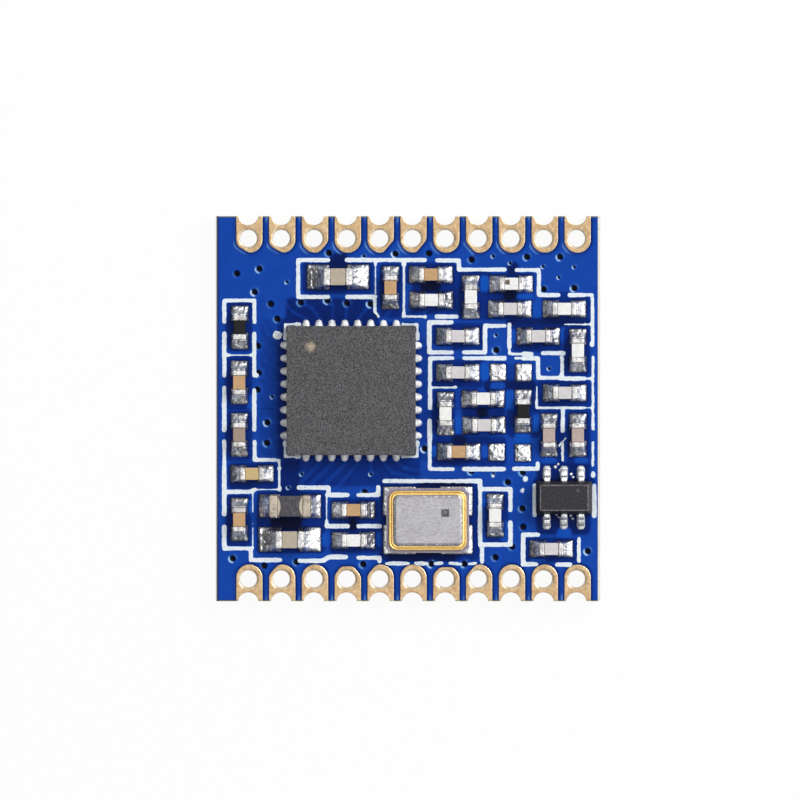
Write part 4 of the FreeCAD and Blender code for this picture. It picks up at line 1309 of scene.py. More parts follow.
def joint_frames(node, centre_of):
    """For each solder joint of a CAD node: the middle of its inner end, its outward direction, length, width,
    where its highest edge is and how high that is. The direction points away from the part it holds."""
    frames = []
    for points in solids_of(node):
        low, high = points.min(0), points.max(0)
        crest = points[points[:, 2] > high[2] - 1e-3]
        axis = 0 if np.ptp(crest[:, 0]) < np.ptp(crest[:, 1]) else 1
        middle = (low + high)[:2] / 2
        away = middle - centre_of(middle)
        sign = 1.0 if away[axis] > 0 else -1.0
        along = np.zeros(2)
        along[axis] = sign
        start = middle.copy()
        start[axis] = low[axis] if sign > 0 else high[axis]
        crest_at = abs(crest[:, axis].mean() - start[axis])
        length, width = (high - low)[axis], (high - low)[1 - axis]
        frames.append((start, along, length, width, crest_at, high[2] - SEAT))
    return frames


def nearest(places):
    """A function that finds the nearest of some places."""
    places = np.asarray(places, float)
    return lambda point: places[np.argmin(((places - point) ** 2).sum(axis=1))]


def creased(x, y, cell, seed):
    """Sharp-crested wrinkles from -1 to 1: noise folded at its middle, at two sizes."""
    broad = 1 - 3 * abs(smooth_noise(x, y, cell, seed))
    fine = 1 - 3 * abs(smooth_noise(x, y, cell * 0.55, seed + 50))
    return np.clip(0.65 * broad + 0.35 * fine, -1, 1)


def add_skins(name, skins, material, nodes):
    """Join solder skins into one piece that keeps how near each point is to its land's outline."""
    shape = joined([shape for shape, _ in skins])
    rim = np.concatenate([rim for _, rim in skins])
    return add_piece(name, shape, material, nodes, {"rim": rim})


def solder_finish(name, colour, metallic=1.0, specks=1.0, roughness=0.14):
    """Bright tin with grey smears, a fine stipple, and dark specks that gather where the rim value is high:
    along a land's outline, and down the sides of a plated end.
    """
    finish = Finish(name)
    smear = finish.grain(0.16, 4.0, 0.6)
    stipple = finish.grain(0.045, 2.0)
    colour = tuple(colour)
    base = finish.stain(colour, shade(colour, 0.48), smear, 0.44, 0.62, 0.65)
    dark_speck_field = finish.grain(0.075, 3.0, 0.6) + finish.value("rim") * 0.2
    base = finish.stain(base, shade(colour, 0.13), dark_speck_field, 0.56, 0.66, 0.66 * specks)
    relief = stipple * 0.45 + smear * 0.55
    return finish.done(base, smear * 0.3 + roughness, metallic=metallic, height=relief, depth=0.03)


def part_centres(prefixes):
    """The middles of the CAD nodes whose names start with one of the prefixes."""
    names = [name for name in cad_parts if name.startswith(prefixes) and "end_caps" not in name]
    return [plan_of(name)[2] for name in sorted(names)]


def ground_film(a, b, depth, x, y):
    """The thin even film under a package."""
    return film(depth, 0.025, 0.05)


class RADIO_OT_solder(bpy.types.Operator):
    """Solder joints, toes, spare lands and a few stray flecks"""

    bl_idname = "radio.solder"
    bl_label = "Solder"

    def chip_part_skins(self, wrinkle):
        """Lands whose solder climbs the plated end and lies creased and thin beyond it."""
        skins = []
        centre_of = nearest(part_centres(("capacitor", "inductor", "resistor", "power")))
        for start, along, length, width, crest, climb in joint_frames("chip_part_solder", centre_of):
            cap_half = width / 2 - CAP_SETBACK[width >= SMALL_LAND]

            def height_at(a, b, depth, x, y):
                past = np.clip((a - crest) / max(length - crest, 0.05), 0, 1)
                across = bell(np.maximum(abs(b) - cap_half * 0.85, 0), 0, 0.09)
                fillet = np.where(a > crest - 0.01, (climb - 0.03) * (1 - past) ** 1.9 * across, 0)
                flank = 0.12 * np.exp(-np.maximum(abs(b) - cap_half, 0) / 0.035) * (a < crest)
                relief = wrinkle * creased(x, y, 0.12, 41) * smooth_step(depth, 0.0, 0.06)
                return film(depth, 0.045, 0.04) + fillet + flank * smooth_step(a, 0.0, 0.08) + relief

            skins.append(blanket(start, along, length, width, height_at))
        return skins

    def land_skins(self, node, thickness, wrinkle):
        """Flat tinned lands, slightly domed and creased."""
        skins = []
        for low, high in boxes_of(node):

            def height_at(a, b, depth, x, y):
                return film(depth, thickness, 0.07) + wrinkle * creased(x, y, 0.15, 43)

            start = np.array([low[0], (low[1] + high[1]) / 2])
            skins.append(blanket(start, (1, 0), high[0] - low[0], high[1] - low[1], height_at))
        return skins

    def toe_skins(self, node, package, spread, reach, cell):
        """Round blobs at the ends of leads: half of an egg, highest where it meets the lead."""
        middle = plan_of(package)[2]
        skins = []
        for start, along, length, width, crest, climb in joint_frames(node, lambda _: middle):
            if width > 1:
                skins.append(blanket(start, along, length, width, ground_film))
                continue

            def height_at(a, b, depth, x, y):
                past = np.maximum(a - crest, 0) / ((length - crest) * reach)
                dome = np.clip(1 - past ** 2 - (abs(b) / (width / 2 + spread)) ** 2.4, 0, 1) ** 0.4
                egg = np.where(dome > 0, min(climb, TOE_HEIGHT) * dome, -0.03)
                return egg + TOE_HUMPS * smooth_noise(x, y, 0.06, 44)

            skins.append(blanket(start, along, length, width + 2 * spread, height_at, cell=cell))
        return skins

    def flecks(self):
        """Stray beads beside the antenna switch: each a low dome on a ragged round outline."""
        rows, columns = 7, 12
        tilt = np.radians(np.linspace(-20, 90, rows))[:, None]
        turn = np.radians(np.arange(0, 360, 360 / columns))[None, :]
        round_x, round_y = np.cos(turn), np.sin(turn)
        skins = []
        for across, up, radius in SOLDER_FLECKS:
            x, y = spot(across, up)
            ragged = radius * (1 + 0.3 * smooth_noise(across + 2 * round_x, up + 2 * round_y, 0.9, 47))
            reach = ragged * np.cos(tilt)
            z = SEAT + 0.45 * radius * np.sin(tilt) + 0 * turn
            points = np.stack([x + reach * round_x, y + reach * round_y, z], -1).reshape(-1, 3)
            shape = welded(points, [net(rows, columns, wrap=True), np.arange(columns)[None, ::-1]])
            skins.append((shape, np.full(len(shape[0]), 0.5)))
        return skins

    def execute(self, context):
        """Lay a solder skin over every land of the chip parts, the chip, the crystal and the switch."""
        colours = looks("solder")
        wrinkle = colours.wrinkle * METRE
        material = solder_finish("bright_solder", colours.solder)
        # Painted light: the toes and the flecks take the solder colour made lighter, nearly white, to stand
        # in for the light that reaches them.
        smooth = solder_finish("painted_bright_solder", shade(colours.solder, 1.18), metallic=0.15, specks=0.2,
                               roughness=0.25)
        add_skins("chip_part_joints", self.chip_part_skins(wrinkle), material, ["chip_part_solder"])
        lands = self.land_skins("spare_lands", 0.045, wrinkle)
        add_skins("empty_lands", lands, material, ["spare_lands"])
        corners = self.land_skins("crystal_solder", 0.022, 0.006)
        add_skins("crystal_joints", corners, material, ["crystal_solder"])
        toes = self.toe_skins("radio_chip_solder", "radio_chip_package", 0.02, 0.84, 0.02)
        add_skins("radio_chip_toes", toes, smooth, ["radio_chip_solder"])
        feet = self.toe_skins("antenna_switch_solder", "antenna_switch_package", 0.02, 0.95, 0.022)
        add_skins("antenna_switch_joints", feet, smooth, ["antenna_switch_solder"])
        add_skins("solder_flecks", self.flecks(), smooth, [])
        return {"FINISHED"}


# Chip parts

# Plated ends that stand higher than this are the power inductor's
POWER_HEIGHT = 0.7

# How far down from its top a plated end counts as rim, and how round a body's edges are
CAP_RIM = 0.08
BODY_EDGE = 0.025


class RADIO_OT_end_caps(bpy.types.Operator):
    """Plated ends of the chip parts"""

    bl_idname = "radio.end_caps"
    bl_label = "End caps"

    def execute(self, context):
        """Round the edges of every plated end. The power inductor's are larger and beige."""
        colours = looks("solder")
        tin = solder_finish("plated_ends", colours.cap, metallic=0.6, specks=1.1, roughness=0.28)
        beige = solder_finish("beige_ends", colours.power_cap, metallic=0.3, specks=0.4, roughness=0.45)
        for family in ("capacitor", "inductor", "resistor"):
            blocks, rims = {"": [], "power_": []}, {"": [], "power_": []}
            for low, high in boxes_of(family + "_end_caps"):
                tall = high[2] - low[2]
                prefix = "power_" if tall > POWER_HEIGHT else ""
                shape = rounded_block(low, high, min(0.12 * tall, 0.06), 4)
                blocks[prefix].append(shape)
                rims[prefix].append(np.clip((high[2] - shape[0][:, 2]) / CAP_RIM, 0, 1))
            for prefix, made in blocks.items():
                if made:
                    name = prefix + family + "_plated_ends"
                    material = beige if prefix else tin
                    rim = np.concatenate(rims[prefix])
                    add_piece(name, joined(made), material, [family + "_end_caps"], {"rim": rim})
        return {"FINISHED"}


def numbered(kind, *numbers):
    """The names of some CAD nodes of one kind."""
    return [f"{kind}_{number:02d}" for number in numbers]


# Each ceramic: its slot, and the CAD nodes that are made of it
CERAMICS = {
    "tan": ("ceramic_tan", numbered("capacitor", 2, 3, 10, 14, 17, 19)),
    "sand": ("ceramic_tan", numbered("capacitor", 16)),
    "beige": ("ceramic_beige", numbered("capacitor", 1, 18)),
    "brown": ("ceramic_brown", numbered("capacitor", 15)),
    "grey": ("ceramic_grey", numbered("capacitor", 4, 5, 6, 7, 8, 9, 13)),
    "taupe": ("ceramic_grey", numbered("capacitor", 11, 12)),
    "white": ("ceramic_white", numbered("inductor", *range(1, 10))),
    "glaze": ("resistor_glaze", numbered("resistor", 1, 2)),
    "ferrite": ("ferrite", ["power_inductor"]),
}

# A small brown mark that one inductor carries: across, up and half its side in millimetres
INDUCTOR_MARK = (75.8, 82.8, 0.11)


class RADIO_OT_chip_bodies(bpy.types.Operator):
    """Ceramic bodies of the chip parts"""

    bl_idname = "radio.chip_bodies"
    bl_label = "Chip bodies"

    def execute(self, context):
        """Round each body's edges and give it its family's ceramic."""
        colours = looks("chip")
        across, up, half = INDUCTOR_MARK
        for name, (slot, nodes) in CERAMICS.items():
            base = tuple(getattr(colours, name))
            finish = Finish("fired_" + name, Specular_IOR_Level=0.2)
            cloud = finish.grain(0.22, 3.0, 0.55)
            streak = finish.grain(0.08, 3.0, 0.6, stretch=(0.3, 1.0, 1.0))
            pepper = finish.ease(finish.grain(0.05, 2.0), 0.56, 0.7)
            colour = finish.stain(base, shade(base, 0.82), cloud, 0.35, 0.7, 0.5)
            colour = finish.stain(colour, shade(base, 1.12, 1.14, 1.2), streak, 0.5, 0.68, 0.35)
            colour = finish.mix(pepper * 0.4, colour, shade(base, 0.5))
            if name == "ferrite":
                low, high = box_of(nodes[0])
                (x, y, _), (half_x, half_y, _) = (low + high) / 2, (high - low) / 2
                bow = 1 - (abs(finish.part("Y") - float(y)) * float(1 / half_y)) ** 2.0
                bulge = bow * 0.13 + (pepper - 0.5) * 0.03
                end = float(half_x) - abs(finish.part("X") - float(x))
                scratch = finish.ease(finish.grain(0.06, 4.0, 0.7, stretch=(1.0, 0.35, 1.0)), 0.45, 0.6)
                colour = finish.mix(scratch * 0.5, shade(base, 0.7), shade(base, 1.7))
                covered = 1 - finish.ease(end - bulge, -0.02, 0.02)
                colour = finish.mix(covered, colour, tuple(looks("solder").power_cap))
            if name == "white":
                gap = finish.reach(*spot(across, up)) + (finish.grain(0.06) - 0.5) * 0.08
                marked = 1 - finish.ease(gap, half - 0.03, half)
                colour = finish.mix(marked, colour, shade(colours.mark, 0.35))
            material = finish.done(colour, 0.5, height=finish.grain(0.05, 3.0), depth=0.01)
            for node in nodes:
                low, high = box_of(node)
                add_piece(node + "_body", rounded_block(low, high, BODY_EDGE), material, [node])
        return {"FINISHED"}


# The radio chip, the crystal and the switch


def grid_topped_block(low, high, edge, cell, height_at):
    """A block whose top is a grid: each point keeps its place and takes its height from a function of x and
    y. The outer rows bend down over the edge in a quarter round, and walls and a flat face close it."""
    xs, ys = (np.linspace(start + edge, end - edge, max(int((end - start) / cell), 3))
              for start, end in zip(low[:2], high[:2]))
    x, y = np.meshgrid(xs, ys)
    top = np.stack([x, y, high[2] + height_at(x, y)], -1).reshape(-1, 3)
    rows, columns = x.shape
    rim = grid_rim(rows, columns)
    flat = top[rim]
    near = 1e-6
    first, last = np.array([xs[0], ys[0]]), np.array([xs[-1], ys[-1]])
    out = (flat[:, :2] > last - near) * 1.0 - (flat[:, :2] < first + near)
    out /= np.linalg.norm(out, axis=1)[:, None]
    rings = []
    for turn in np.linspace(0, math.pi / 2, 5)[1:]:
        height = high[2] + (flat[:, 2] - high[2]) * math.cos(turn) - edge * (1 - math.cos(turn))
        rings.append(np.column_stack([flat[:, :2] + out * edge * math.sin(turn), height]))
    rings.append(np.column_stack([rings[-1][:, :2], np.full(len(rim), low[2])]))
    start, count = rows * columns, len(rim)
    index = [rim] + [start + k * count + np.arange(count) for k in range(len(rings))]
    walls = [np.column_stack([a, b, np.roll(b, -1), np.roll(a, -1)]) for a, b in zip(index, index[1:])]
    faces = np.concatenate([net(rows, columns)] + walls)
    return welded(np.concatenate([top] + rings), [faces, index[-1][None, ::-1]])


# The chip's round mark, from its rear left corner, and its radius
CHIP_MARK_INSET = (0.945, -0.80)
CHIP_MARK_RADIUS = 0.24

# How far the chip's moulding stays inside its CAD body, the radius of its rounded upper edge, and the
# width of a cell of its top
CHIP_INSET = 0.005
CHIP_EDGE = 0.035
CHIP_CELL = 0.06


class RADIO_OT_radio_chip(bpy.types.Operator):
    """Radio chip's moulding with its pin-one mark"""

    bl_idname = "radio.radio_chip"
    bl_label = "Radio chip"

    def execute(self, context):
        """A rough moulded top with a shallow round mark. The CAD leads stay flush in its sides."""
        low, high = box_of("radio_chip_package")
        mark = np.array([low[0], high[1]]) + CHIP_MARK_INSET
        radius = CHIP_MARK_RADIUS

        def top_height(x, y):
            gap = np.hypot(x - mark[0], y - mark[1])
            rough = 0.004 * smooth_noise(x, y, 0.10, 51) + 0.003 * smooth_noise(x, y, 0.23, 52)
            return rough - 0.007 - 0.012 * (1 - smooth_step(gap, radius - 0.05, radius + 0.02))

        inset = np.array([CHIP_INSET, CHIP_INSET, 0])
        shape = grid_topped_block(low + inset, high - inset, CHIP_EDGE, CHIP_CELL, top_height)
        finish = Finish("dark_moulding", Specular_IOR_Level=0.3)
        ragged = finish.gap_from(*mark) + (finish.grain(0.08, 4.0, 0.7) - 0.5) * 0.5
        cloud = finish.grain(0.6, 4.0, 0.6)
        fine = finish.grain(0.043, 1.0, 0.6)
        base = tuple(looks("chip").moulding)
        colour = finish.mix(finish.ease(fine, 0.34, 0.66), shade(base, 0.42), shade(base, 1.75))
        colour = finish.stain(colour, shade(base, 0.6), cloud, 0.35, 0.7, 0.22)
        tan = tuple(looks("chip").mark)
        painted = finish.mix(finish.ease(ragged, 0.0, 0.2), shade(tan, 1.3), shade(tan, 0.75))
        colour = finish.mix((1 - finish.ease(ragged, radius - 0.14, radius + 0.02)) * 0.9, colour, painted)
        material = finish.done(colour, 0.6, height=fine, depth=0.02)
        add_piece("radio_chip_moulding", shape, material, ["radio_chip_package"])
        return {"FINISHED"}


# Where the crystal's lid carries a dark square: across, up and half its side in millimetres. Then the lid's
# corner.
LID_MARK = (59.6, 22.95, 0.175)
LID_CORNER = 0.22

# The seal ring's corner, and its section: how far in from its outside and how far below its top
RING_CORNER = 0.32
RING_SECTION = [(0.0, 0.03), (0.012, 0.008), (0.032, 0.0), (0.052, 0.006), (0.068, 0.03), (0.085, 0.034),
                (0.102, 0.012), (0.122, 0.0), (0.150, 0.006), (0.2, 0.012)]


class RADIO_OT_crystal(bpy.types.Operator):
    """Crystal's ceramic tray, gilt ring and brushed lid"""

    bl_idname = "radio.crystal"
    bl_label = "Crystal"

    def ring(self, colours):
        """A double bead with painted shade in the groove between, stacked from rounded outlines."""
        low, high, centre, length, width = plan_of("crystal_seal_ring")
        levels = [(0.0, low[2])] + [(inset, high[2] - drop) for inset, drop in RING_SECTION]
        shape = slab(centre, length, width, RING_CORNER, levels)
        place = shape[0][:, :2] - centre
        inset = -box_gap(place[:, 0], place[:, 1], length / 2, width / 2, RING_CORNER)
        groove = bell(inset, 0.078, 0.018)
        finish = Finish("gilt_ring")
        blotch = finish.grain(0.08, 3.0)
        gilt = tuple(colours.gilt)
        colour = finish.stain(gilt, shade(gilt, 0.85, 0.72, 0.5), blotch, 0.4, 0.65, 0.6)
        # Painted shade: the groove between the beads is painted dark.
        line = finish.ease(finish.value("groove") + (blotch - 0.5) * 0.5, 0.5, 0.95) * 0.6
        colour = finish.mix(line, colour, tuple(colours.groove))
        material = finish.done(colour, 0.3, metallic=0.8, height=blotch, depth=0.01)
        add_piece("crystal_gilt_ring", shape, material, ["crystal_seal_ring"],
                  {"groove": groove})

    def lid(self, colours):
        """A thin plate with a rolled edge, scuffed along it, with painted highlights sparkling just inside
        the edge, and a dark square on it.
        """
        low, high, centre, length, width = plan_of("crystal_lid")
        levels = [(0.0, low[2] - 0.002)] + edge_levels(low[2], high[2] - 0.02, 0.03)[1:]
        levels += [(0.06, high[2] - 0.014), (0.10, high[2] - 0.002), (0.13, high[2])]
        shape = slab(centre, length, width, LID_CORNER, levels)
        finish = Finish("brushed_lid")
        brush = finish.grain(0.07, 4.0, 0.65, stretch=(0.5, 1.0, 1.0))
        fine = finish.grain(0.06, 3.0, 0.6)
        cloud = finish.grain(0.5, 4.0, 0.6)
        x = abs(finish.part("X") - float(centre[0])) - float(length / 2)
        y = abs(finish.part("Y") - float(centre[1])) - float(width / 2)
        edge = x.most(y)
        metal = tuple(colours.lid)
        colour = finish.mix(finish.ease(brush, 0.4, 0.62) * 0.45, shade(metal, 1.12), shade(metal, 0.55))
        colour = finish.stain(colour, shade(metal, 0.7), cloud, 0.4, 0.65, 0.25)
        scuff = edge + (fine - 0.5) * 0.22
        colour = finish.stain(colour, shade(metal, 0.4, 0.38, 0.36), scuff, -0.15, -0.08, 0.6)
        # Painted highlight: bright sparkles just inside the rolled edge.
        edge_sparkle_highlight = finish.ease(edge, -0.13, -0.07) * finish.ease(fine, 0.52, 0.62)
        colour = finish.mix(edge_sparkle_highlight, colour, shade(metal, 1.5))
        across, up, half = LID_MARK
        gap = finish.reach(*spot(across, up)) + (fine - 0.5) * 0.10
        faded = 0.55 + 0.4 * finish.ease(cloud + fine, 0.85, 1.15)
        dark = (1 - finish.ease(gap, half - 0.04, half)) * faded
        colour = finish.mix(dark, colour, shade(metal, 0.12, 0.12, 0.11))
        height = brush * 0.5 + fine * 0.5
        material = finish.done(colour, cloud * 0.2 + 0.32, metallic=0.8, height=height, depth=0.008)
        add_piece("crystal_brushed_lid", shape, material, ["crystal_lid"])

    def execute(self, context):
        """The ring and the lid are new; the CAD tray and quartz stay."""
        colours = looks("crystal")
        self.ring(colours)
        self.lid(colours)
        finish = Finish("lilac_ceramic", Specular_IOR_Level=0.4)
        grit = finish.grain(0.07, 3.0)
        base = tuple(colours.ceramic)
        colour = finish.mix(finish.ease(grit, 0.35, 0.7), shade(base, 1.2), shade(base, 0.72))
        dress_node("crystal_base", finish.done(colour, 0.45, height=grit, depth=0.01))
        finish = Finish("clear_quartz")
        tint = finish.mix(finish.grain(0.3), srgb(226, 232, 234), srgb(206, 214, 220))
        dress_node("crystal_quartz_blank", finish.done(tint, 0.1))
        return {"FINISHED"}


# The switch's leads: how thick they are, how far their feet lie flat, how much narrower they are at the bend,
# and how far from each corner its curve starts
LEAD_THICKNESS = 0.14
LEAD_FOOT = 0.24
LEAD_WAIST = 0.24
LEAD_BEND = 0.09


def swept_lead(places, thickness, width, x, sign, centre_y):
    """A flat lead: its section is a rounded rectangle carried along a bent line in the upright plane, turned
    so that its thickness stays square to the line, and drawn in to a waist where the line bends down."""
    section = rounded_outline(width, thickness, 0.03, 3)
    ahead = np.gradient(places, axis=0)
    ahead /= np.linalg.norm(ahead, axis=1)[:, None]
    square = np.column_stack([-ahead[:, 1], ahead[:, 0]])
    waist = 1 - LEAD_WAIST * bell(np.linspace(0, 1, len(places)), 0.55, 0.16)
    y = places[:, None, 0] + section[None, :, 1] * square[:, None, 0]
    z = places[:, None, 1] + section[None, :, 1] * square[:, None, 1]
    points = np.stack([x + section[None, :, 0] * waist[:, None], centre_y + sign * y, z], -1)
    return tube(points.reshape(-1, 3), *y.shape)


def rounded_line(corners, cut, steps=6):
    """A bent line whose corners become curves: each is a quadratic blend between the points where the cut
    starts and ends."""
    corners = np.asarray(corners, float)
    line = [corners[:1]]
    for before, corner, after in zip(corners, corners[1:], corners[2:]):
        start = corner + (before - corner) * min(cut / np.linalg.norm(before - corner), 0.5)
        end = corner + (after - corner) * min(cut / np.linalg.norm(after - corner), 0.5)
        t = np.linspace(0, 1, steps)[:, None]
        line.append((1 - t) ** 2 * start + 2 * t * (1 - t) * corner + t ** 2 * end)
    return np.concatenate(line + [corners[-1:]])


# Where the switch's moulding carries a small lighter round dot, which stands for a dimple that isn't
# modelled: across, up and its radius in millimetres. Then the moulding's corner.
SWITCH_MARK = (94.05, 28.75, 0.055)
SWITCH_CORNER = 0.12


class RADIO_OT_switch(bpy.types.Operator):
    """Antenna switch's moulding and gull-wing leads"""

    bl_idname = "radio.antenna_switch"
    bl_label = "Antenna switch"

    def moulding(self):
        """Stacked outlines: both halves taper away from the waist, and the top face has a rolled edge. The
        sides below the top face are painted near black, a painted shade, and a painted highlight runs along
        the rolled edge."""
        low, high, centre, length, width = plan_of("antenna_switch_package")
        middle = (low[2] + high[2]) / 2
        levels = [(0.12, 0.12, low[2]), (0.012, 0.012, middle - 0.03), (0.0, 0.0, middle - 0.01),
                  (0.0, 0.0, middle + 0.01), (0.012, 0.012, middle + 0.03), (0.24, 0.22, high[2] - 0.05),
                  (0.27, 0.25, high[2] - 0.02), (0.31, 0.29, high[2] - 0.004), (0.36, 0.34, high[2]),
                  (0.5, 0.48, high[2] - 0.004)]
        rings = [rounded_outline(length - less_x, width - less_y, SWITCH_CORNER) + centre
                 for less_x, less_y, _ in levels]
        shape = stacked(rings, [z for _, _, z in levels])
        place = shape[0] - (*centre, 0)
        inset = -box_gap(place[:, 0], place[:, 1], length / 2, width / 2, SWITCH_CORNER)
        lip = bell(inset, 0.165, 0.035) * (place[:, 2] > middle)
        flank = 1 - smooth_step(place[:, 2], high[2] - 0.06, high[2] - 0.02)
        finish = Finish("switch_moulding_black", Specular_IOR_Level=0.2)
        fine = finish.grain(0.06, 3.0)
        base = tuple(looks("chip").switch)
        colour = finish.mix(finish.ease(fine, 0.38, 0.62), shade(base, 0.65), shade(base, 1.35))
        # Painted shade: the sides below the top face are painted near black.
        colour = finish.mix(finish.value("flank") * 0.95, colour, shade(base, 0.15))
        # Painted highlight: a bright line along the top face's rolled edge.
        bright = finish.ease(finish.value("lip") + (finish.grain(0.1, 3.0, 0.7) - 0.5) * 1.2, 0.55, 0.95)
        colour = finish.mix(bright * 0.6, colour, shade(base, 9.0))
        across, up, radius = SWITCH_MARK
        gap = finish.gap_from(*spot(across, up))
        colour = finish.mix((1 - finish.ease(gap, radius, radius + 0.03)) * 0.6, colour, shade(base, 4.0))
        material = finish.done(colour, 0.45, height=fine, depth=0.014)
        add_piece("antenna_switch_moulding", shape, material, ["antenna_switch_package"],
                  {"lip": lip, "flank": flank})
        return centre

    def execute(self, context):
        """A drafted moulding with rounded edges, and leads swept along their bends."""
        centre = self.moulding()
        leads = []
        for low, high in boxes_of("antenna_switch_leads"):
            sign = 1.0 if (low[1] + high[1]) / 2 > centre[1] else -1.0
            tip, root = sorted((abs(low[1] - centre[1]), abs(high[1] - centre[1])), reverse=True)
            shoulder, foot = high[2] - LEAD_THICKNESS / 2, low[2] + LEAD_THICKNESS / 2
            leg = tip - LEAD_FOOT - LEAD_THICKNESS / 2
            places = rounded_line([(root, shoulder), (leg, shoulder), (leg, foot), (tip, foot)], LEAD_BEND)
            width, x = high[0] - low[0], (low[0] + high[0]) / 2
            leads.append(swept_lead(places, LEAD_THICKNESS, width, x, sign, centre[1]))
        material = solder_finish("lead_tin_bright", looks("solder").solder, specks=0.5)
        add_piece("antenna_switch_legs", joined(leads), material, ["antenna_switch_leads"])
        return {"FINISHED"}


class RADIO_OT_board_core(bpy.types.Operator):
    """Laminate and the parts hidden inside the chip"""

    bl_idname = "radio.board_core"
    bl_label = "Board core"

    def execute(self, context):
        """Materials for CAD nodes that keep their own shape. The coat cracked along the scored left side and
        still covers part of its bevel."""
        finish = Finish("glass_epoxy", Specular_IOR_Level=0.25)
        weave = finish.grain(0.12, 2.0, 0.5, stretch=(1.0, 1.0, 4.0))
        chalk = finish.grain(0.14, 4.0, 0.6, stretch=(1.0, 1.0, 0.4))
        colour = finish.mix(weave * 0.5, srgb(232, 229, 218), srgb(206, 198, 174))
        colour = finish.stain(colour, srgb(238, 238, 234), chalk, 0.42, 0.62, 0.5)
        side = finish.part("X")
        left = finish.ease(side, float(board_low[0]) + 0.03, float(board_low[0]) + 0.05)
        left = left * (1 - finish.ease(side, float(coat_low[0]), float(coat_low[0]) + 0.02))
        upper = finish.ease(finish.part("Z"), 0.5 * float(SEAT), 0.6 * float(SEAT))
        colour = finish.mix(left * upper, colour, tuple(looks("coat").bare))
        trim = float(board_high[1]) - EDGE_TRIM
        edge = finish.ease(abs(finish.part("Y")), trim - 0.01, trim)
        top = finish.ease(finish.part("Z"), float(coat_low[2]) - 0.02, float(coat_low[2]) - 0.005)
        colour = finish.mix(edge * top * 0.8, colour, srgb(96, 104, 74))
        dress_node("laminate", finish.done(colour, 0.75, height=weave, depth=0.012))
        tin = solder_finish("lead_frame_tin", looks("solder").solder)
        for node in ("radio_chip_leads", "radio_chip_ground_pad"):
            dress_node(node, tin)
        finish = Finish("grey_silicon")
        tint = finish.mix(finish.grain(0.4), srgb(70, 72, 80), srgb(96, 98, 106))
        dress_node("radio_chip_die", finish.done(tint, 0.2))
        return {"FINISHED"}


# Floor, lights and camera

# How much of the floor's look is its own white
FLOOR_GLOW = 0.93

# Half the floor's side, and how far it lies below the board, which keeps the two faces apart
FLOOR_HALF = 600
FLOOR_GAP = 0.02

# The side that the room's light comes from, and how bright glossy surfaces see the room: away from the light,
# on its side, and more in the window itself
ROOM_LIGHT_WAY = (0.80, 0.22, 0.56)
ROOM_LEVELS = (0.05, 0.86, 1.3)

# The two panels of light: the place of each and its side
OVERHEAD_PANEL = ((0, 0, 320), 240)
KEY_PANEL = ((240, 160, 300), 200)


def area_light(name, place, size, radiance):
    """A square white panel that faces the board, with its place and size in millimetres. A panel of even
    radiance gives pi times its area in watts."""
    lamp = bpy.data.lights.new(name, "AREA")
    lamp.shape = "SQUARE"
    lamp.size = size / METRE
    lamp.energy = radiance * math.pi * lamp.size ** 2
    panel = linked(name, lamp)
    place = Vector(place) / METRE
    panel.matrix_world = Matrix.Translation(place) @ place.to_track_quat("Z", "Y").to_matrix().to_4x4()


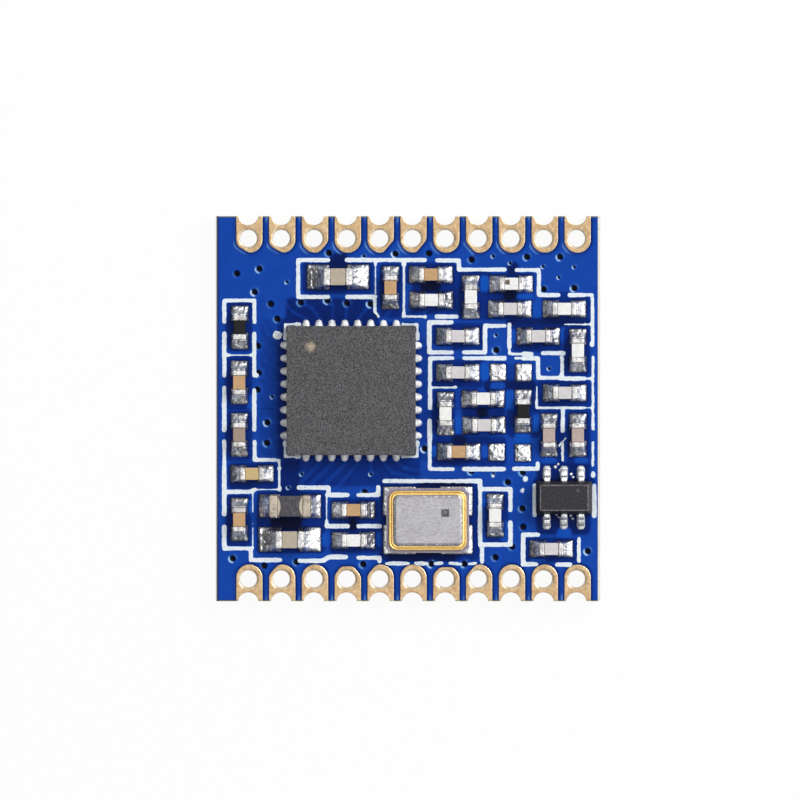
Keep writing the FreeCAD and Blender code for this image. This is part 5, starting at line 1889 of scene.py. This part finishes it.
class RADIO_OT_stage(bpy.types.Operator):
    """Pale floor, soft lights and the camera"""

    bl_idname = "radio.stage"
    bl_label = "Stage"

    def floor(self):
        """A wide white sheet. The camera sees mostly its own white, and a little of the light that falls on
        it, which keeps the shadow."""
        mesh = bpy.data.meshes.new("floor")
        half, low = FLOOR_HALF / METRE, -FLOOR_GAP / METRE
        corners = [(-half, -half, low), (half, -half, low), (half, half, low), (-half, half, low)]
        mesh.from_pydata(corners, [], [(0, 1, 2, 3)])
        floor = linked("floor", mesh)
        paper = Finish("white_paper", Specular_IOR_Level=0.0)
        cloud = paper.mix(paper.grain(40.0), (0.96, 0.96, 0.96), (0.93, 0.93, 0.93))
        glow = paper.node("Emission", None, {"Color": (1.0, 1.0, 1.0), "Strength": 1.0})
        shown = paper.rays("Camera", "Glossy", "Transmission") * FLOOR_GLOW
        cover = paper.node("MixShader", None, {0: shown, 1: paper.surface(cloud, 0.9), 2: glow})
        paper.node("OutputMaterial", None, {"Surface": cover})
        mesh.materials.append(paper.material)

    def room(self, sky):
        """A white surround for the camera. On glossy surfaces it is bright on the lamp's side and dim on the
        other, as in a room with one window. It lights everything else evenly."""
        world = bpy.data.worlds.new("soft_room")
        bpy.context.scene.world = world
        world.use_nodes = True
        network = Network(world.node_tree)
        way = network.node("TexCoord", output="Generated")
        towards = network.node("VectorMath", {"operation": "DOT_PRODUCT"}, {0: way, 1: ROOM_LIGHT_WAY},
                               output="Value")
        away, lit, pane = ROOM_LEVELS
        level = network.ease(towards, -0.15, 0.75) * lit + network.ease(towards, 0.72, 1.0) * pane + away
        white = (1.0, 1.0, 1.0)
        even = network.node("Background", None, {"Color": white, "Strength": sky})
        window = network.node("Background", None, {"Color": white, "Strength": level})
        seen = network.node("Background", None, {"Color": white, "Strength": 1.0})
        mixed = network.node("MixShader", None, {0: network.rays("Glossy"), 1: even, 2: window})
        direct = network.rays("Camera", "Transmission")
        mixed = network.node("MixShader", None, {0: direct, 1: mixed, 2: seen})
        network.node("OutputWorld", None, {"Surface": mixed})

    def camera(self, values):
        """A camera straight above the board, so far away that nothing shows its side."""
        data = bpy.data.cameras.new("camera")
        data.lens = values.lens
        data.sensor_width = 36.0
        data.clip_start = 5 / METRE
        camera = linked("camera", data)
        camera.matrix_world = Matrix.Translation(Vector(values.aim) + Vector((0, 0, values.distance)))
        bpy.context.scene.camera = camera

    def execute(self, context):
        """White floor that keeps the shadow, a soft room, two panels and the camera."""
        values = looks("stage")
        context.scene.view_settings.view_transform = "Standard"
        self.floor()
        self.room(values.sky)
        area_light("overhead_panel", *OVERHEAD_PANEL, values.soft_light)
        area_light("key_panel", *KEY_PANEL, values.key_light)
        self.camera(values)
        return {"FINISHED"}


OPERATORS = [
    RADIO_OT_board_core, RADIO_OT_top_coat, RADIO_OT_bottom_coat, RADIO_OT_terminals, RADIO_OT_print,
    RADIO_OT_solder, RADIO_OT_end_caps, RADIO_OT_chip_bodies, RADIO_OT_radio_chip, RADIO_OT_crystal,
    RADIO_OT_switch, RADIO_OT_stage,
]
GROUPS = {
    "coat": CoatLooks, "terminal": TerminalLooks, "print": PrintLooks, "solder": SolderLooks,
    "chip": ChipLooks, "crystal": CrystalLooks, "stage": StageLooks,
}


class RADIO_PT_dressing(bpy.types.Panel):
    """The steps of the dressing and their values"""

    bl_idname = "RADIO_PT_dressing"
    bl_label = "Radio module"
    bl_space_type = "VIEW_3D"
    bl_region_type = "UI"
    bl_category = "Radio module"

    def draw(self, context):
        """One button for each operator, then the values of each group."""
        for operator in OPERATORS:
            self.layout.operator(operator.bl_idname)
        for name, group in GROUPS.items():
            box = self.layout.box()
            box.label(text=name.capitalize())
            for key in group.__annotations__:
                box.prop(getattr(context.scene, "radio_" + name), key)


def register():
    """Add the classes and the values."""
    for name, group in GROUPS.items():
        bpy.utils.register_class(group)
        setattr(bpy.types.Scene, "radio_" + name, PointerProperty(type=group))
    for operator in OPERATORS:
        bpy.utils.register_class(operator)
    bpy.utils.register_class(RADIO_PT_dressing)


def unregister():
    """Take the classes and the values out again."""
    bpy.utils.unregister_class(RADIO_PT_dressing)
    for operator in reversed(OPERATORS):
        bpy.utils.unregister_class(operator)
    for name, group in GROUPS.items():
        delattr(bpy.types.Scene, "radio_" + name)
        bpy.utils.unregister_class(group)


def main():
    """Run every step in order."""
    register()
    for operator in OPERATORS:
        group, step = operator.bl_idname.split(".")
        getattr(getattr(bpy.ops, group), step)()


if __name__ == "__main__":
    main()
